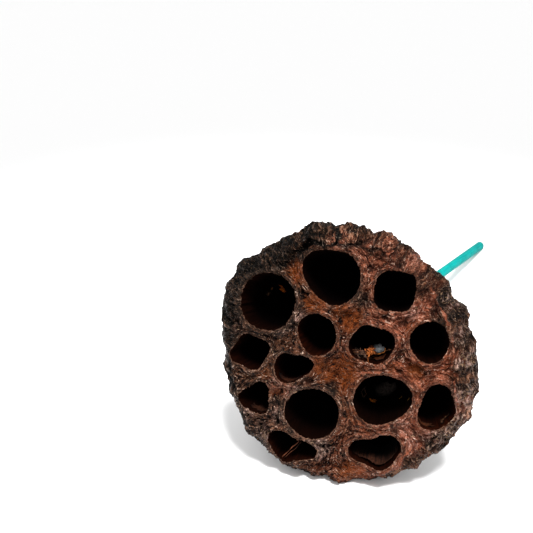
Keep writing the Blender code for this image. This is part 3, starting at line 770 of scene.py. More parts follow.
def addBack(shell, rim, rimHeights):
    count = podMesh["rimPoints"]
    angle = evenTurns(count)
    firstDepth, firstShare = podForm["backProfile"][0]
    ring = rim
    rimReach = rimRadius(angle)
    rows = podMesh["shoulderRows"]
    for row in range(1, rows + 1):
        t = row / rows
        depth = -rimHeights + (firstDepth + rimHeights) * t
        radius = rimReach + (backRadius(angle, firstDepth, firstShare) - rimReach) * t
        ring = joinRings(shell, ring, addBackRing(shell, angle, radius, depth))
    neckDepth = podForm["backProfile"][-1][0]
    steps = round((neckDepth - firstDepth) / podMesh["backStep"])
    for step in range(1, steps + 1):
        depth = firstDepth + (neckDepth - firstDepth) * step / steps
        if step in podMesh["halvedRows"]:
            count //= 2
            angle = evenTurns(count)
        radius = backRadius(angle, depth, backShare(depth))
        ring = joinRings(shell, ring, addBackRing(shell, angle, radius, depth))
    return ring


def addSocket(shell, neckRing):
    # The hole in the neck that the stick is pushed into
    neckDepth, neckShare = podForm["backProfile"][-1]
    neckRadius, socketRadius = neckShare * podForm["rimRadius"], podForm["socketRadius"]
    across, up = axisFrame(neckDepth)
    angle = evenTurns(len(neckRing))
    # Over the neck's rounded end, then down the wall of the hole
    edge, edgeRise, middleRise = podMesh["neckRounding"]
    steps = [(neckRadius - edge, -edgeRise), (0.5 * (neckRadius + socketRadius), -middleRise)]
    steps += [(socketRadius, inwards) for inwards in podMesh["socketRows"] + (podForm["socketDepth"],)]
    ring = neckRing
    for reach, inwards in steps:
        centre = neckEnd - stickAlong * inwards
        places = centre + reach * (np.outer(np.cos(angle), across) + np.outer(np.sin(angle), up))
        space = roundAxis(angle, reach, inwards - neckDepth)
        ring = joinRings(shell, ring, addPoints(shell, places, space, space, back=neckDepth, **behindRim))
    bottom = neckEnd - stickAlong * podForm["socketDepth"]
    space = np.array([[0.0, 0.0, podForm["socketDepth"] - neckDepth]])
    point = addPoints(shell, bottom[None, :], space, np.zeros((1, 3)), back=neckDepth, **behindRim)
    closeRing(shell, ring, point[0])


def shellToObject(shell, name):
    mesh = bpy.data.meshes.new(name)
    mesh.from_pydata((np.concatenate(shell["places"]) * mm).tolist(), [], shell["faces"])
    for attribute in ("podSpace", "grain") + marks:
        keepAttribute(mesh, attribute, np.concatenate(shell[attribute]))
    work = bmesh.new()
    work.from_mesh(mesh)
    loose = [vert for vert in work.verts if not vert.link_faces]
    bmesh.ops.delete(work, geom=loose, context="VERTS")
    bmesh.ops.recalc_face_normals(work, faces=work.faces)
    openEdges = sum(1 for edge in work.edges if not edge.is_manifold)
    work.to_mesh(mesh)
    work.free()
    print(name, len(mesh.vertices), "points,", openEdges, "open edges")
    return newObject(name, mesh)


def buildPodShell():
    shell = newShell()
    rim, mouths, height = addFace(shell)
    for hole, mouth in zip(podForm["holes"], mouths):
        addPocket(shell, hole, mouth, height[mouth])
    neckRing = addBack(shell, rim, height[rim])
    addSocket(shell, neckRing)
    return shellToObject(shell, "podShell")


# Relief of the husk: leathery creases, wrinkles that follow the holes, and crust folds on
# the rim, all pushed along the normal. Sizes and heights are millimetres.

huskRelief = {
    "Lump size": 3.8,
    "Lump height": 2.9,
    "Leather size": 2.4,
    "Leather height": 0.5,
    "Thread spacing": 2.3,
    "Thread height": 0.30,
    "Wrinkle spacing": 1.1,
    "Wrinkle height": 0.58,
    "Crack spacing": 1.7,
    "Crack depth": 0.50,
    "Pit spacing": 1.3,
    "Pit depth": 0.40,
    "Lip bead": 0.20,
    "Collar height": 0.22,
    "Crease height": 0.55,
    "Fold size": 4.0,
    "Fold height": 0.9,
    "Rib spacing": 1.7,
    "Rib height": 0.75,
    "Crevice depth": 1.8,
    "Fibre size": 1.3,
    "Fibre height": 0.4,
    "Lining start": 0.02,      # of a pocket's depth
}


reliefSteps = {
    # A gentle bend of the space, so that no pattern runs straight
    "bendNoise": ("noise", "podSpace", 0.3, 2.0),
    "bendSigned": ("subtractVectors", "bendNoise.Color", (0.5, 0.5, 0.5)),
    "bend": ("scaleVector", "bendSigned", 3.0),
    "bent": ("addVectors", "podSpace", "bend"),
    "bentGrain": ("addVectors", "grain", "bend"),

    # Where each kind of relief shows
    "inPocket": ("range", "pocket", 0.0, 0.08, 0.0, 1.0),
    "onBack": ("range", "back", 8.0, 14.0, 0.0, 1.0),
    "offLip": ("range", "lip", 0.0, 0.7, 0.25, 1.0),
    "smooth": ("range", "warm", 0.0, 1.0, 1.0, 0.3),

    # Lumps and leather: sharp crests with rounded dips between them
    "lumpNoise": ("noise", "podSpace", "Lump scale", 2.0),
    "lumpSigned": ("subtract", "lumpNoise", 0.5),
    "lumps": ("multiply", "lumpSigned", "Lump height"),
    "leatherNoise": ("ridges", "bent", "Leather scale", 3.0, 0.6, 1.0, 2.0),
    "leatherSigned": ("subtract", "leatherNoise", 1.3),
    "leather": ("multiply", "leatherSigned", "Leather height"),

    # Wrinkles run round each hole and along the webs, where the space is drawn out along the holes' edges
    "bentParts": ("split", "bent"),
    "alongX": ("multiply", "bentParts.X", 0.22),
    "alongY": ("multiply", "bentParts.Y", 0.22),
    "drawnSkin": ("join", "lip", "alongX", "alongY"),

    # On the crust they run outwards over the rim, or along it where it is layered
    "grainParts": ("split", "bentGrain"),
    "ribZ": ("multiply", "grainParts.Z", 0.55),
    "ribSpace": ("join", "grainParts.X", "grainParts.Y", "ribZ"),
    "edgeRun": ("subtract", "rim", "back"),
    "layerX": ("multiply", "grainParts.X", 0.19),
    "layerY": ("multiply", "grainParts.Y", 0.19),
    "layerSpace": ("join", "edgeRun", "layerX", "layerY"),
    "layeredHere": ("above", "layered", 0.5),
    "drawnCrust": ("mixVectors", "layeredHere", "ribSpace", "layerSpace"),
    "charred": ("above", "char", 0.45),
    "atRim": ("below", "rim", 9.0),
    "onCrust": ("multiply", "charred", "atRim"),
    "drawn": ("mixVectors", "onCrust", "drawnSkin", "drawnCrust"),
    "wrinkleNoise": ("ridges", "drawnSkin", "Wrinkle scale", 1.0, 0.5, 1.0, 1.0, 0.4),
    "wrinkleSigned": ("subtract", "wrinkleNoise", 0.8),
    "wrinkles": ("multiply", "wrinkleSigned", "Wrinkle height"),
    "wrinkleCrest": ("softRange", "wrinkleNoise", 1.0, 1.25, 0.0, 1.0),
    "ribNoise": ("ridges", "drawnCrust", "Rib scale", 2.0, 0.5, 1.0, 1.5, 0.5),
    "ribSigned": ("subtract", "ribNoise", 1.05),
    "ribs": ("multiply", "ribSigned", "Rib height"),
    "ribCrest": ("softRange", "ribNoise", 1.25, 1.6, 0.0, 1.0),
    "ribGap": ("softRange", "ribNoise", 0.85, 0.5, 0.0, 1.0),

    # A net of fine raised threads, with cracks and pits between them
    "threadNoise": ("ridges", "bent", "Thread scale", 0.0, 0.5, 1.0, 1.0, 0.6),
    "threadShare": ("softRange", "threadNoise", 0.84, 0.97, 0.0, 1.0),
    "crackSpace": ("addVectors", "drawn", (31.0, 17.0, 5.0)),
    "crackNoise": ("ridges", "crackSpace", "Crack scale", 0.0, 0.5, 1.0, 1.0, 0.8),
    "crackLine": ("softRange", "crackNoise", 0.80, 0.95, 0.0, 1.0),
    "crackHere": ("noise", "podSpace", 0.45, 1.0),
    "crackFade": ("range", "crackHere", 0.42, 0.58, 0.1, 1.0),
    "crackShare": ("multiply", "crackLine", "crackFade"),
    "pitNoise": ("noise", "bent", "Pit scale", 1.0, 0.6),
    "pitShare": ("softRange", "pitNoise", 0.60, 0.72, 0.0, 1.0),

    # Crust: broad folds, and a crevice under the rolled edge at the top
    "foldNoise": ("ridges", "bentGrain", "Fold scale", 2.0, 0.5, 1.0, 1.6, 0.5),
    "foldSigned": ("subtract", "foldNoise", 1.05),
    "foldHigh": ("multiply", "foldSigned", "Fold height"),
    "folds": ("multiply", "foldHigh", "folded"),
    "creviceDepth": ("multiply", "crevice", "Crevice depth"),
    "creviced": ("subtract", "folds", "creviceDepth"),

    # Fibres down the back and down the pocket walls
    "fibreNoise": ("ridges", "grain", "Fibre scale", 3.0, 0.6, 1.0, 2.0),
    "fibreSigned": ("subtract", "fibreNoise", 1.3),
    "fibres": ("multiply", "fibreSigned", "Fibre height"),

    # Skin and crust each take their own, the lips a bead, and the back its fibres
    "threadHeight": ("multiply", "threadShare", "Thread height"),
    "crackDepth": ("multiply", "crackShare", "Crack depth"),
    "pitDepth": ("multiply", "pitShare", "Pit depth"),
    "hollow": ("add", "crackDepth", "pitDepth"),
    "netted": ("subtract", "threadHeight", "hollow"),
    "leatherNet": ("add", "leather", "netted"),
    "skin": ("add", "leatherNet", "wrinkles"),
    "crust": ("add", "leatherNet", "ribs"),
    "crustShare": ("range", "rim", 9.0, 6.0, 0.0, 1.0),
    "ribbed": ("multiply", "crustShare", "char"),
    "fineRelief": ("mix", "ribbed", "skin", "crust"),
    "offEdge": ("range", "rim", 0.0, 3.0, 0.3, 1.0),
    "fineEdge": ("multiply", "fineRelief", "offEdge"),
    "fineEven": ("multiply", "fineEdge", "smooth"),
    "collarLess": ("range", "collar", 0.0, 1.0, 1.0, 0.25),
    "fineLess": ("multiply", "fineEven", "collarLess"),
    "collarRise": ("multiply", "collar", "Collar height"),
    "fineSmooth": ("add", "fineLess", "collarRise"),
    "lumpsOrFolds": ("mix", "ribbed", "lumps", "creviced"),
    "creases": ("multiply", "crease", "Crease height"),
    "coarse": ("add", "lumpsOrFolds", "creases"),
    "face": ("add", "coarse", "fineSmooth"),
    "faceLip": ("multiply", "face", "offLip"),
    "bead": ("range", "lip", 0.0, 0.45, "Lip bead", 0.0),
    "faceBead": ("add", "faceLip", "bead"),
    "faceOrBack": ("mix", "onBack", "faceBead", "fibres"),
    "pocketFibres": ("multiply", "fibres", 0.5),
    "relief": ("mix", "inPocket", "faceOrBack", "pocketFibres"),

    # What the material paints pale, as a painted highlight on crests, threads and creases, and what it paints
    # dark, as painted shade in cracks, pits, gaps and the crevice under the rolled edge
    "skinCrest": ("larger", "threadShare", "wrinkleCrest"),
    "crests": ("mix", "ribbed", "skinCrest", "ribCrest"),
    "smoothCrests": ("multiply", "crests", "smooth"),
    "thread": ("larger", "smoothCrests", "crease"),
    "skinGap": ("larger", "crackShare", "pitShare"),
    "crustGap": ("larger", "skinGap", "ribGap"),
    "gaps": ("mix", "ribbed", "skinGap", "crustGap"),
    "smoothGaps": ("multiply", "gaps", "smooth"),
    # painted shade: dark in cracks, pits, rib gaps and the crevice under the rolled edge
    "crack": ("larger", "smoothGaps", "crevice"),
    "inMetres": ("multiply", "relief", mm),
}


def makeReliefTree():
    inputs = {label: ("NodeSocketFloat", value) for label, value in huskRelief.items()}
    inputs["Husk"] = ("NodeSocketMaterial", None)
    inputs["Pocket lining"] = ("NodeSocketMaterial", None)
    tree, given, result = newGeometryTree("huskReliefTree", inputs)
    known = {label: given.outputs[label] for label in inputs}
    for label in huskRelief:
        pattern, size = label.split()
        if size in ("size", "spacing"):
            addNodes(tree, known, {pattern + " scale": ("divide", 1.0, label)})
    for name in marks + ("podSpace", "grain"):
        kind = "FLOAT" if name in marks else "FLOAT_VECTOR"
        known[name] = addNode(tree, "GeometryNodeInputNamedAttribute", {"Name": name}, data_type=kind)
    addNodes(tree, known, reliefSteps)

    kept = given
    for name in ("relief", "thread", "crack", "drawn"):
        kind = "FLOAT_VECTOR" if name == "drawn" else "FLOAT"
        written = {"Geometry": kept, "Name": name, "Value": known[name]}
        kept = addNode(tree, "GeometryNodeStoreNamedAttribute", written, data_type=kind, domain="POINT")
    normal = addNode(tree, "GeometryNodeInputNormal")
    push = addNode(tree, "ShaderNodeVectorMath", {0: normal, "Scale": known["inMetres"]}, operation="SCALE")
    pushed = addNode(tree, "GeometryNodeSetPosition", {"Geometry": kept, "Offset": push})

    # Whatever would reach under the surface it lies on is pressed flat
    place = addNode(tree, "ShaderNodeSeparateXYZ", {0: addNode(tree, "GeometryNodeInputPosition")})
    lifted = addNode(tree, "ShaderNodeMath", {0: place.outputs[2], 1: 0.0}, operation="MAXIMUM")
    resting = addNode(tree, "ShaderNodeCombineXYZ", {0: place.outputs[0], 1: place.outputs[1], 2: lifted})
    flattened = addNode(tree, "GeometryNodeSetPosition", {"Geometry": pushed, "Position": resting})
    realized = addNode(tree, "GeometryNodeRealizeInstances", {0: flattened})
    coated = addNode(tree, "GeometryNodeSetMaterial", {"Geometry": realized, "Material": known["Husk"]})
    addNodes(tree, known, {"inside": ("above", "pocket", "Lining start")})
    lined = addNode(tree, "GeometryNodeSetMaterial", {"Geometry": coated, "Selection": known["inside"],
                                                      "Material": known["Pocket lining"]})
    plug(tree, result.inputs[0], lined)
    return tree


def buildPod(material, lining):
    values = {**huskRelief, "Husk": material, "Pocket lining": lining}
    pod = runGeometryTree(buildPodShell(), makeReliefTree(), values, "podHusk")
    pod.data.shade_smooth()
    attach(pod, "root")
    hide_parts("pod")
    triangles = sum(len(face.vertices) - 2 for face in pod.data.polygons)
    print("pod husk", triangles, "triangles")
    return pod


# Husk material

huskColours = {
    "brown": "#2c1407",
    "red": "#6b3019",
    "warm": "#6b310f",
    "ash": "#4c3830",
    "blush": "#8a4a35",
    "mauve": "#2b1e18",
    # crest colours: painted highlights on the skin's crests and threads
    "crest": "#905a46",
    "crestGrey": "#66422f",
    "crestWarm": "#864f2c",
    "crestAsh": "#ad9590",
    "crestBlush": "#c07c61",
    # painted highlight along the crease ridges
    "crease": "#8f4e37",
    # near black: painted shade in dips, cracks, pits, gaps and the crevice, and the darker drift patches
    "dip": "#030101",
    # pale lip edge, partly the edge's own colour and partly a painted highlight
    "lip": "#735343",
    "collar": "#45362d",
    "charBlack": "#030201",
    # painted shade in the crust's dips, and the black char patches
    "crustBrown": "#3d251b",
    "rust": "#5a2d1c",
    "charcoal": "#080502",
    # painted highlights on the crust's crests
    "crustCrest": "#ad7a5c",
    "charcoalCrest": "#5d4538",
    # painted glints
    "glint": "#c8ab98",
    # pale flecks, partly dry skin and partly painted glints
    "fleck": "#98795f",
    "pocketMouth": "#060201",
    # painted light on the pocket walls just inside the lip
    "pocketGlow": "#210903",
    # painted shade deep in the pockets
    "pocketDeep": "#010000",
    "backDark": "#120b07",
    "back": "#34251a",
}


huskSteps = {
    # Fine wrinkles and grit, half a millimetre and up, which the mesh is too coarse for
    "fine": ("ridges", "drawn", 1.6, 1.0, 0.6, 1.0, 2.0, 0.15),
    "fineSigned": ("subtract", "fine", 1.0),
    "grit": ("ridges", "podSpace", 1.5, 1.0, 0.6, 1.0, 2.0, 0.3),
    "gritSigned": ("subtract", "grit", 1.0),
    "fineLines": ("multiply", "fineSigned", 1.15),
    "gritPart": ("multiply", "gritSigned", 0.75),
    "fineEven": ("add", "fineLines", "gritPart"),
    "specks": ("noise", "drawn", 2.3, 0.0),
    "speckSigned": ("subtract", "specks", 0.5),
    "speckHere": ("range", "char", 0.0, 1.0, 1.1, 2.4),
    "speckLayers": ("multiply", "char", "layered"),
    "speckMore": ("add", "speckLayers", "speckHere"),
    "speckPart": ("multiply", "speckSigned", "speckMore"),
    "fineSum": ("add", "fineEven", "speckPart"),
    "fineHeight": ("multiply", "fineSum", 0.36),
    "height": ("add", "relief", "fineHeight"),

    # Brown skin that drifts to red and rust
    "drift": ("noise", "podSpace", 0.28, 4.0, 0.5),
    "driftShare": ("range", "drift", 0.38, 0.62, 0.0, 1.0),
    "evenSkin": ("mixColours", "red", "brownColour", "redColour"),
    "driftLess": ("range", "red", 0.2, 0.9, 0.8, 0.45),
    "driftDark": ("mixColours", "driftLess", "evenSkin", "dipColour"),
    "skin": ("mixColours", "driftShare", "driftDark", "evenSkin"),
    "warmShare": ("multiply", "warm", 0.8),
    "mauveNoise": ("noise", "grain", 0.3, 3.0, 0.6),
    "mauveShare": ("range", "mauveNoise", 0.5, 0.6, 0.0, 0.7),
    "mauveSkin": ("mixColours", "mauveShare", "skin", "mauveColour"),
    "warmSkin": ("mixColours", "warmShare", "mauveSkin", "warmColour"),
    "dustShare": ("multiply", "dust", 0.75),
    "blushShare": ("multiply", "blush", 0.7),
    "blushSkin": ("mixColours", "blushShare", "warmSkin", "blushColour"),
    "skinWarm": ("mixColours", "dustShare", "blushSkin", "ashColour"),

    # Painted highlight and shade: threads and crests go pale, cracks and dips go dark
    "fineCrest": ("range", "fineSum", 0.1, 0.7, 0.0, 0.7),
    "highCrest": ("range", "relief", 0.1, 0.8, 0.0, 0.15),
    "threadFade": ("range", "drift", 0.42, 0.56, 0.15, 0.6),
    "threadPale": ("multiply", "thread", "threadFade"),
    "crestSum": ("add", "fineCrest", "highCrest"),
    "paleAll": ("addUpToOne", "crestSum", "threadPale"),
    "paleLess": ("range", "warm", 0.0, 1.0, 1.0, 0.35),
    "highlightShare": ("multiply", "paleAll", "paleLess"),
    "crestEven": ("mixColours", "red", "crestGreyColour", "crestColour"),
    "crestWarm": ("mixColours", "warmShare", "crestEven", "crestWarmColour"),
    "crestRed": ("mixColours", "blushShare", "crestWarm", "crestBlushColour"),
    "crestPale": ("mixColours", "dustShare", "crestRed", "crestAshColour"),
    "highlighted": ("mixColours", "highlightShare", "skinWarm", "crestPale"),
    "fineDip": ("range", "fineSum", -0.1, -0.8, 0.0, 0.85),
    "lowDip": ("range", "relief", -0.15, -0.9, 0.0, 0.6),
    "crackDark": ("multiply", "crack", 0.9),
    "dipSum": ("add", "fineDip", "lowDip"),
    "dipAll": ("addUpToOne", "dipSum", "crackDark"),
    "dipLess": ("range", "red", 0.4, 1.0, 1.0, 0.62),
    "dipShadeShare": ("multiply", "dipAll", "dipLess"),
    "dipShaded": ("mixColours", "dipShadeShare", "highlighted", "dipColour"),

    # Crust on the rim: brown at the right, charcoal at the left, with painted highlights on its crests and
    # painted shade, black, in its dips
    "rustNoise": ("noise", "podSpace", 0.28, 4.0, 0.7),
    "rustPatch": ("range", "rustNoise", 0.48, 0.58, 0.0, 1.0),
    "rustLess": ("range", "charcoal", 0.2, 0.8, 1.0, 0.1),
    "rustShare": ("multiply", "rustPatch", "rustLess"),
    "rusty": ("mixColours", "rustShare", "crustBrownColour", "rustColour"),
    "charBrown": ("mixColours", "charcoal", "rusty", "charcoalColour"),
    "charSkin": ("mixColours", "blushShare", "charBrown", "blushColour"),
    "charEven": ("mixColours", "charcoal", "crustCrestColour", "charcoalCrestColour"),
    "charRed": ("mixColours", "blushShare", "charEven", "crestBlushColour"),
    "charPale": ("mixColours", "dustShare", "charRed", "crestAshColour"),
    "charcoalLess": ("range", "charcoal", 0.2, 1.0, 1.0, 0.62),
    "crustHighlight": ("multiply", "highlightShare", "charcoalLess"),
    "charHighlighted": ("mixColours", "crustHighlight", "charSkin", "charPale"),
    "charDipShaded": ("mixColours", "dipShadeShare", "charHighlighted", "charBlackColour"),
    "patchNoise": ("noise", "grain", 0.24, 2.0, 0.6),
    "patchShare": ("range", "patchNoise", 0.52, 0.42, 0.0, 0.7),
    "charPatched": ("mixColours", "patchShare", "charDipShaded", "charBlackColour"),
    "charred": ("mixColours", "char", "dipShaded", "charPatched"),
    # painted highlight along the crease ridges
    "creaseShare": ("multiply", "crease", 0.8),
    "creaseHighlighted": ("mixColours", "creaseShare", "charred", "creaseColour"),

    # Thin pale lips, broken here and there and partly a painted highlight on the edge, with a greyish collar
    # round them that is painted darker in its fine dips as shade
    "lipBreak": ("noise", "podSpace", 0.7, 3.0, 0.6),
    "lipBreakShare": ("range", "lipBreak", 0.44, 0.6, 0.1, 1.0),
    "collarEven": ("range", "fineSum", -0.9, 0.9, 0.15, 1.0),
    "collarTone": ("mixColours", "collarEven", "dipColour", "collarColour"),
    "collarShare": ("multiply", "collar", 0.5),
    "collared": ("mixColours", "collarShare", "creaseHighlighted", "collarTone"),
    "lipNear": ("range", "lip", 0.05, 0.38, 0.9, 0.0),
    "lipPale": ("multiply", "lipNear", "lipBreakShare"),
    "lipShare": ("multiply", "lipPale", "pale"),
    "lipped": ("mixColours", "lipShare", "collared", "lipColour"),

    # Pale flecks, partly dry skin thickest where dust has gathered and partly painted glints, and painted
    # glints on the finest crests
    "fleckNoise": ("noise", "podSpace", 1.5, 3.0, 0.7),
    "fleckDust": ("multiply", "dust", 0.11),
    "fleckSum": ("add", "fleckNoise", "fleckDust"),
    "fleckShare": ("range", "fleckSum", 0.63, 0.72, 0.0, 0.75),
    "flecked": ("mixColours", "fleckShare", "lipped", "fleckColour"),
    "glintNoise": ("noise", "podSpace", 0.6, 2.0, 0.6),
    "glintHere": ("range", "glintNoise", 0.45, 0.6, 0.15, 0.9),
    "glintLine": ("range", "fineSum", 0.58, 0.8, 0.0, 1.0),
    "glintDull": ("multiply", "charcoal", "char"),
    "glintPlain": ("larger", "glintDull", "warm"),
    "glintLess": ("range", "glintPlain", 0.0, 1.0, 1.0, 0.25),
    "crustDull": ("range", "char", 0.0, 1.0, 1.0, 0.5),
    "glintOn": ("multiply", "glintHere", "crustDull"),
    "glintAll": ("multiply", "glintOn", "glintLine"),
    "glintShare": ("multiply", "glintAll", "glintLess"),
    "glinting": ("mixColours", "glintShare", "flecked", "glintColour"),

    # Back, streaked lengthwise, with painted shade in its dips
    "onBack": ("range", "back", 7.0, 12.0, 0.0, 1.0),
    "streaks": ("noise", "grain", 0.6, 6.0, 0.65),
    "streakShare": ("range", "streaks", 0.38, 0.62, 0.0, 1.0),
    "streaked": ("mixColours", "streakShare", "backDarkColour", "backColour"),
    "backDip": ("range", "height", 0.1, -0.5, 0.0, 0.85),
    "backDipped": ("mixColours", "backDip", "streaked", "dipColour"),
    "backed": ("mixColours", "onBack", "glinting", "backDipped"),

    "rough": ("range", "height", -0.3, 0.3, 0.75, 0.22),
    "bump": ("bump", "fineHeight", 1.0, 1.6 * mm),
}


def makeHuskMaterial():
    # Dried lotus husk: leathery skin, matt in its creases and a little waxy on its ridges. It scatters nearly
    # all its gloss away. Its colour holds painted highlights on its crests and painted shade in its dips
    shares = ("lip", "back", "char", "charcoal", "layered", "crease", "warm", "red", "dust", "blush", "pale",
              "collar", "relief", "thread", "crack")
    return makeMaterial("driedLotusHusk", ("podSpace", "grain", "drawn"), shares, huskColours, huskSteps,
                        {"Base Color": "backed", "Roughness": "rough", "Normal": "bump",
                         "Specular IOR Level": 0.06})


def makeLiningMaterial():
    # Papery lining of the seed pockets: almost black, with no gloss, with painted light in streaks just
    # inside the lip of some holes, and painted shade darker deeper in
    steps = {
        "streaks": ("noise", "grain", 0.9, 4.0, 0.6),
        "streakShare": ("range", "streaks", 0.4, 0.62, 0.3, 1.0),
        # painted light on the walls just inside the lip
        "glowHere": ("multiply", "glow", "streakShare"),
        "glowIn": ("mixColours", "glowHere", "pocketMouthColour", "pocketGlowColour"),
        # painted shade: darker deeper in the pocket
        "deepShadeShare": ("range", "pocket", 0.04, 0.5, 0.0, 1.0),
        "final": ("mixColours", "deepShadeShare", "glowIn", "pocketDeepColour"),
        "bump": ("bump", "streaks", 0.5, 0.3 * mm),
    }
    return makeMaterial("driedPocketLining", ("grain",), ("pocket", "glow"), huskColours, steps,
                        {"Base Color": "final", "Roughness": 0.95, "Normal": "bump",
                         "Specular IOR Level": 0.01})


# Torn lining and stray fibres in the seed pockets, as thin crumpled sheets

tornLining = {
    "thickness": 0.14,
    "offWall": 0.15,
    "wallReach": 0.6,              # of the hole's half width, from a pocket's axis to its wall
    "deepest": 0.98,               # of a pocket's depth
    # edges of flakes and scraps: how often and how deeply they are torn
    "torn": (1.6, 0.9),
    # how often something changes, its middle, and how much it goes up and down
    "flakeCurl": (3.0, 0.5, 0.9),
    "strandWidths": (2.0, 0.75, 0.5),
    "strandLight": (1.7, 0.75, 1.3),
    # how light the middle is, and what the edge has less
    "flakeLight": (1.1, 0.7),
    "scrapLight": (1.15, 0.7),
    # the scraps' folds carry painted light and shade: lighter where they stand out, darker in their hollows
    "scrapFolds": (1.3, 1.5),      # how often, how much they show in the light
    "scrapLean": 0.3,
    "flakePoints": 13,
    "scrapPoints": 25,
    "strandPoints": 16,
    "strandWander": (1.3, 0.35),   # how often, how far
    # strands of a knot, by its reach: how far they lie apart, their half length, and how bent
    "knotStrands": (0.30, 0.55, 0.18),
    # on a pocket's wall: hole, angle, depth, half width round it, half length down it, lift, colour
    "flakes": ((0, 133.0, 16.0, 1.2, 0.8, 0.5, "#9a4d16"), (0, 122.0, 15.0, 0.4, 0.9, 0.4, "#8a4212"),
               (0, 170.0, 13.0, 0.7, 0.5, 0.4, "#4a3424"), (0, 150.0, 13.4, 0.5, 0.3, 0.3, "#5c3a1e"),
               (10, -118.0, 11.2, 0.8, 0.4, 0.4, "#8a4e18"), (10, -112.0, 11.8, 0.5, 0.25, 0.4, "#7a4414"),
               (10, -26.0, 9.8, 0.5, 0.15, 0.3, "#6e5224"), (10, -8.0, 5.2, 0.4, 0.15, 0.3, "#6c4f20"),
               (10, -161.0, 10.8, 0.14, 1.5, 0.3, "#3e2f26"), (10, -150.0, 11.6, 0.9, 0.13, 0.3, "#3e2f26"),
               (10, -143.0, 10.6, 0.14, 1.2, 0.3, "#3a2b22"), (10, -152.0, 9.6, 0.8, 0.13, 0.3, "#3a2b22"),
               (10, -66.0, 15.3, 4.4, 1.5, 0.1, "#332c29"), (4, -88.0, 5.6, 2.0, 1.7, 0.5, "#4e2712"),
               (4, -62.0, 5.0, 1.4, 1.5, 0.4, "#42200f"), (4, -112.0, 4.4, 1.2, 1.3, 0.4, "#3c2416"),
               (11, -112.0, 2.6, 1.5, 1.2, 0.3, "#33180a"), (11, -52.0, 3.4, 1.0, 0.2, 0.5, "#3a2416"),
               (11, -66.0, 2.6, 0.2, 0.8, 0.5, "#3e2618"), (7, -100.0, 2.4, 1.6, 1.3, 0.3, "#2a1208"),
               (8, -90.0, 2.6, 1.8, 1.4, 0.3, "#230f06")),
    # free in a pocket: x, y, w, half width, half height, turn, crumple, colour
    "scraps": ((8.6, 3.4, -1.7, 1.7, 1.5, 20.0, 0.9, "#4e230c"),
               (10.9, 4.6, -2.4, 1.7, 1.1, 20.0, 0.15, "#626566"),
               (5.4, 2.6, -0.8, 2.2, 1.2, -30.0, 0.7, "#33251e")),
    # knots of torn strands: x, y, w, reach, how many, width, colour
    "knots": ((8.5, 3.6, -1.3, 1.7, 26, 0.36, "#a85c2c"), (5.6, 2.6, -0.4, 2.1, 30, 0.24, "#6e5142")),
    # width, colour, and the x, y and w of the points that a strand runs through
    "strands": ((0.30, "#54321f", (3.3, 4.3, 1.4), (5.5, 4.0, 0.2), (7.4, 3.7, -0.8)),
                (0.30, "#5e3a24", (3.6, 3.6, 1.2), (6.0, 3.2, 0.0), (7.8, 3.0, -1.0)),
                (0.30, "#8a5226", (10.1, 3.2, -0.9), (11.6, 3.3, -1.2), (12.9, 4.3, -1.0), (13.0, 5.4, -1.0)),
                (0.45, "#a85c2c", (8.3, 3.2, -0.6), (8.2, 2.2, 0.6), (8.4, 1.2, 1.8)),
                (0.30, "#4e3220", (13.0, 4.6, -1.0), (14.2, 5.2, 0.0), (15.2, 6.0, 1.4)),
                (0.34, "#553020", (-16.9, -34.4, -0.4), (-14.0, -31.0, 0.1), (-11.6, -28.0, 0.8)),
                (0.34, "#46281b", (-16.1, -34.6, -0.6), (-13.2, -31.2, 0.0), (-10.8, -28.1, 0.7))),
    # lifted off the wall: hole, first, lowest and last angle, gap, depth, colour
    "liner": (13, 200.0, 258.0, 358.0, 1.1, 9.5, "#432518"),
    "linerPoints": (120, 26),      # round it, down it
    # its upper edge: how deep it lies, how much deeper at the ends, how ragged it is
    "linerTop": (0.9, 2.0, 0.4),
    # its stripes: how wide in degrees, how far they stand out, how much they show in the light
    "linerStripes": (2.2, 0.35, 1.3),
}


def wallPlaces(hole, angle, depth, inwards):
    # Places in a pocket, so far round it, down it and in from its wall
    step = np.clip(depth / pocketDepth(hole), 0.0, tornLining["deepest"])
    lean = 1.0 - podForm["pocketLean"] * depth
    size = lean * np.sqrt(1.0 - step ** podForm["pocketRoundness"])
    edge = holeRadius(hole, angle)
    rimHeight = faceHeight(hole[0] + edge * np.cos(angle), hole[1] + edge * np.sin(angle))
    middle = faceHeight(np.array([hole[0]]), np.array([hole[1]]))[0]
    height = rimHeight + (middle - rimHeight) * ease(step / podForm["pocketLevelled"]) - depth
    reach = np.maximum(edge * size - inwards, 0.1)
    return onFace(hole[0] * lean + reach * np.cos(angle), hole[1] * lean + reach * np.sin(angle), height)


def addSheet(sheets, grid, colour, shade):
    # A thin closed sheet through a grid of places, each as light as its shade
    rows, columns = grid.shape[:2]
    normal = np.cross(np.gradient(grid, axis=0), np.gradient(grid, axis=1))
    normal = normal / np.maximum(np.linalg.norm(normal, axis=2, keepdims=True), 1e-9)
    lift = normal * 0.5 * tornLining["thickness"]
    number = np.arange(rows * columns).reshape(rows, columns) + sheets["count"]
    corners = (number[:-1, :-1], number[1:, :-1], number[1:, 1:], number[:-1, 1:])
    quads = np.stack(corners, axis=2).reshape(-1, 4)
    shift = rows * columns
    sheets["faces"] += quads.tolist() + (quads[:, ::-1] + shift).tolist()
    around = np.concatenate((number[0, :-1], number[:-1, -1], number[-1, :0:-1], number[:0:-1, 0]))
    after = np.roll(around, -1)
    sheets["faces"] += np.stack((around, after, after + shift, around + shift), axis=1).tolist()
    sheets["places"] += [(grid + lift).reshape(-1, 3), (grid - lift).reshape(-1, 3)]
    sheets["tone"].append(np.tile(shade.reshape(-1, 1) * np.array(linear(colour)[:3]), (2, 1)))
    sheets["count"] += 2 * shift


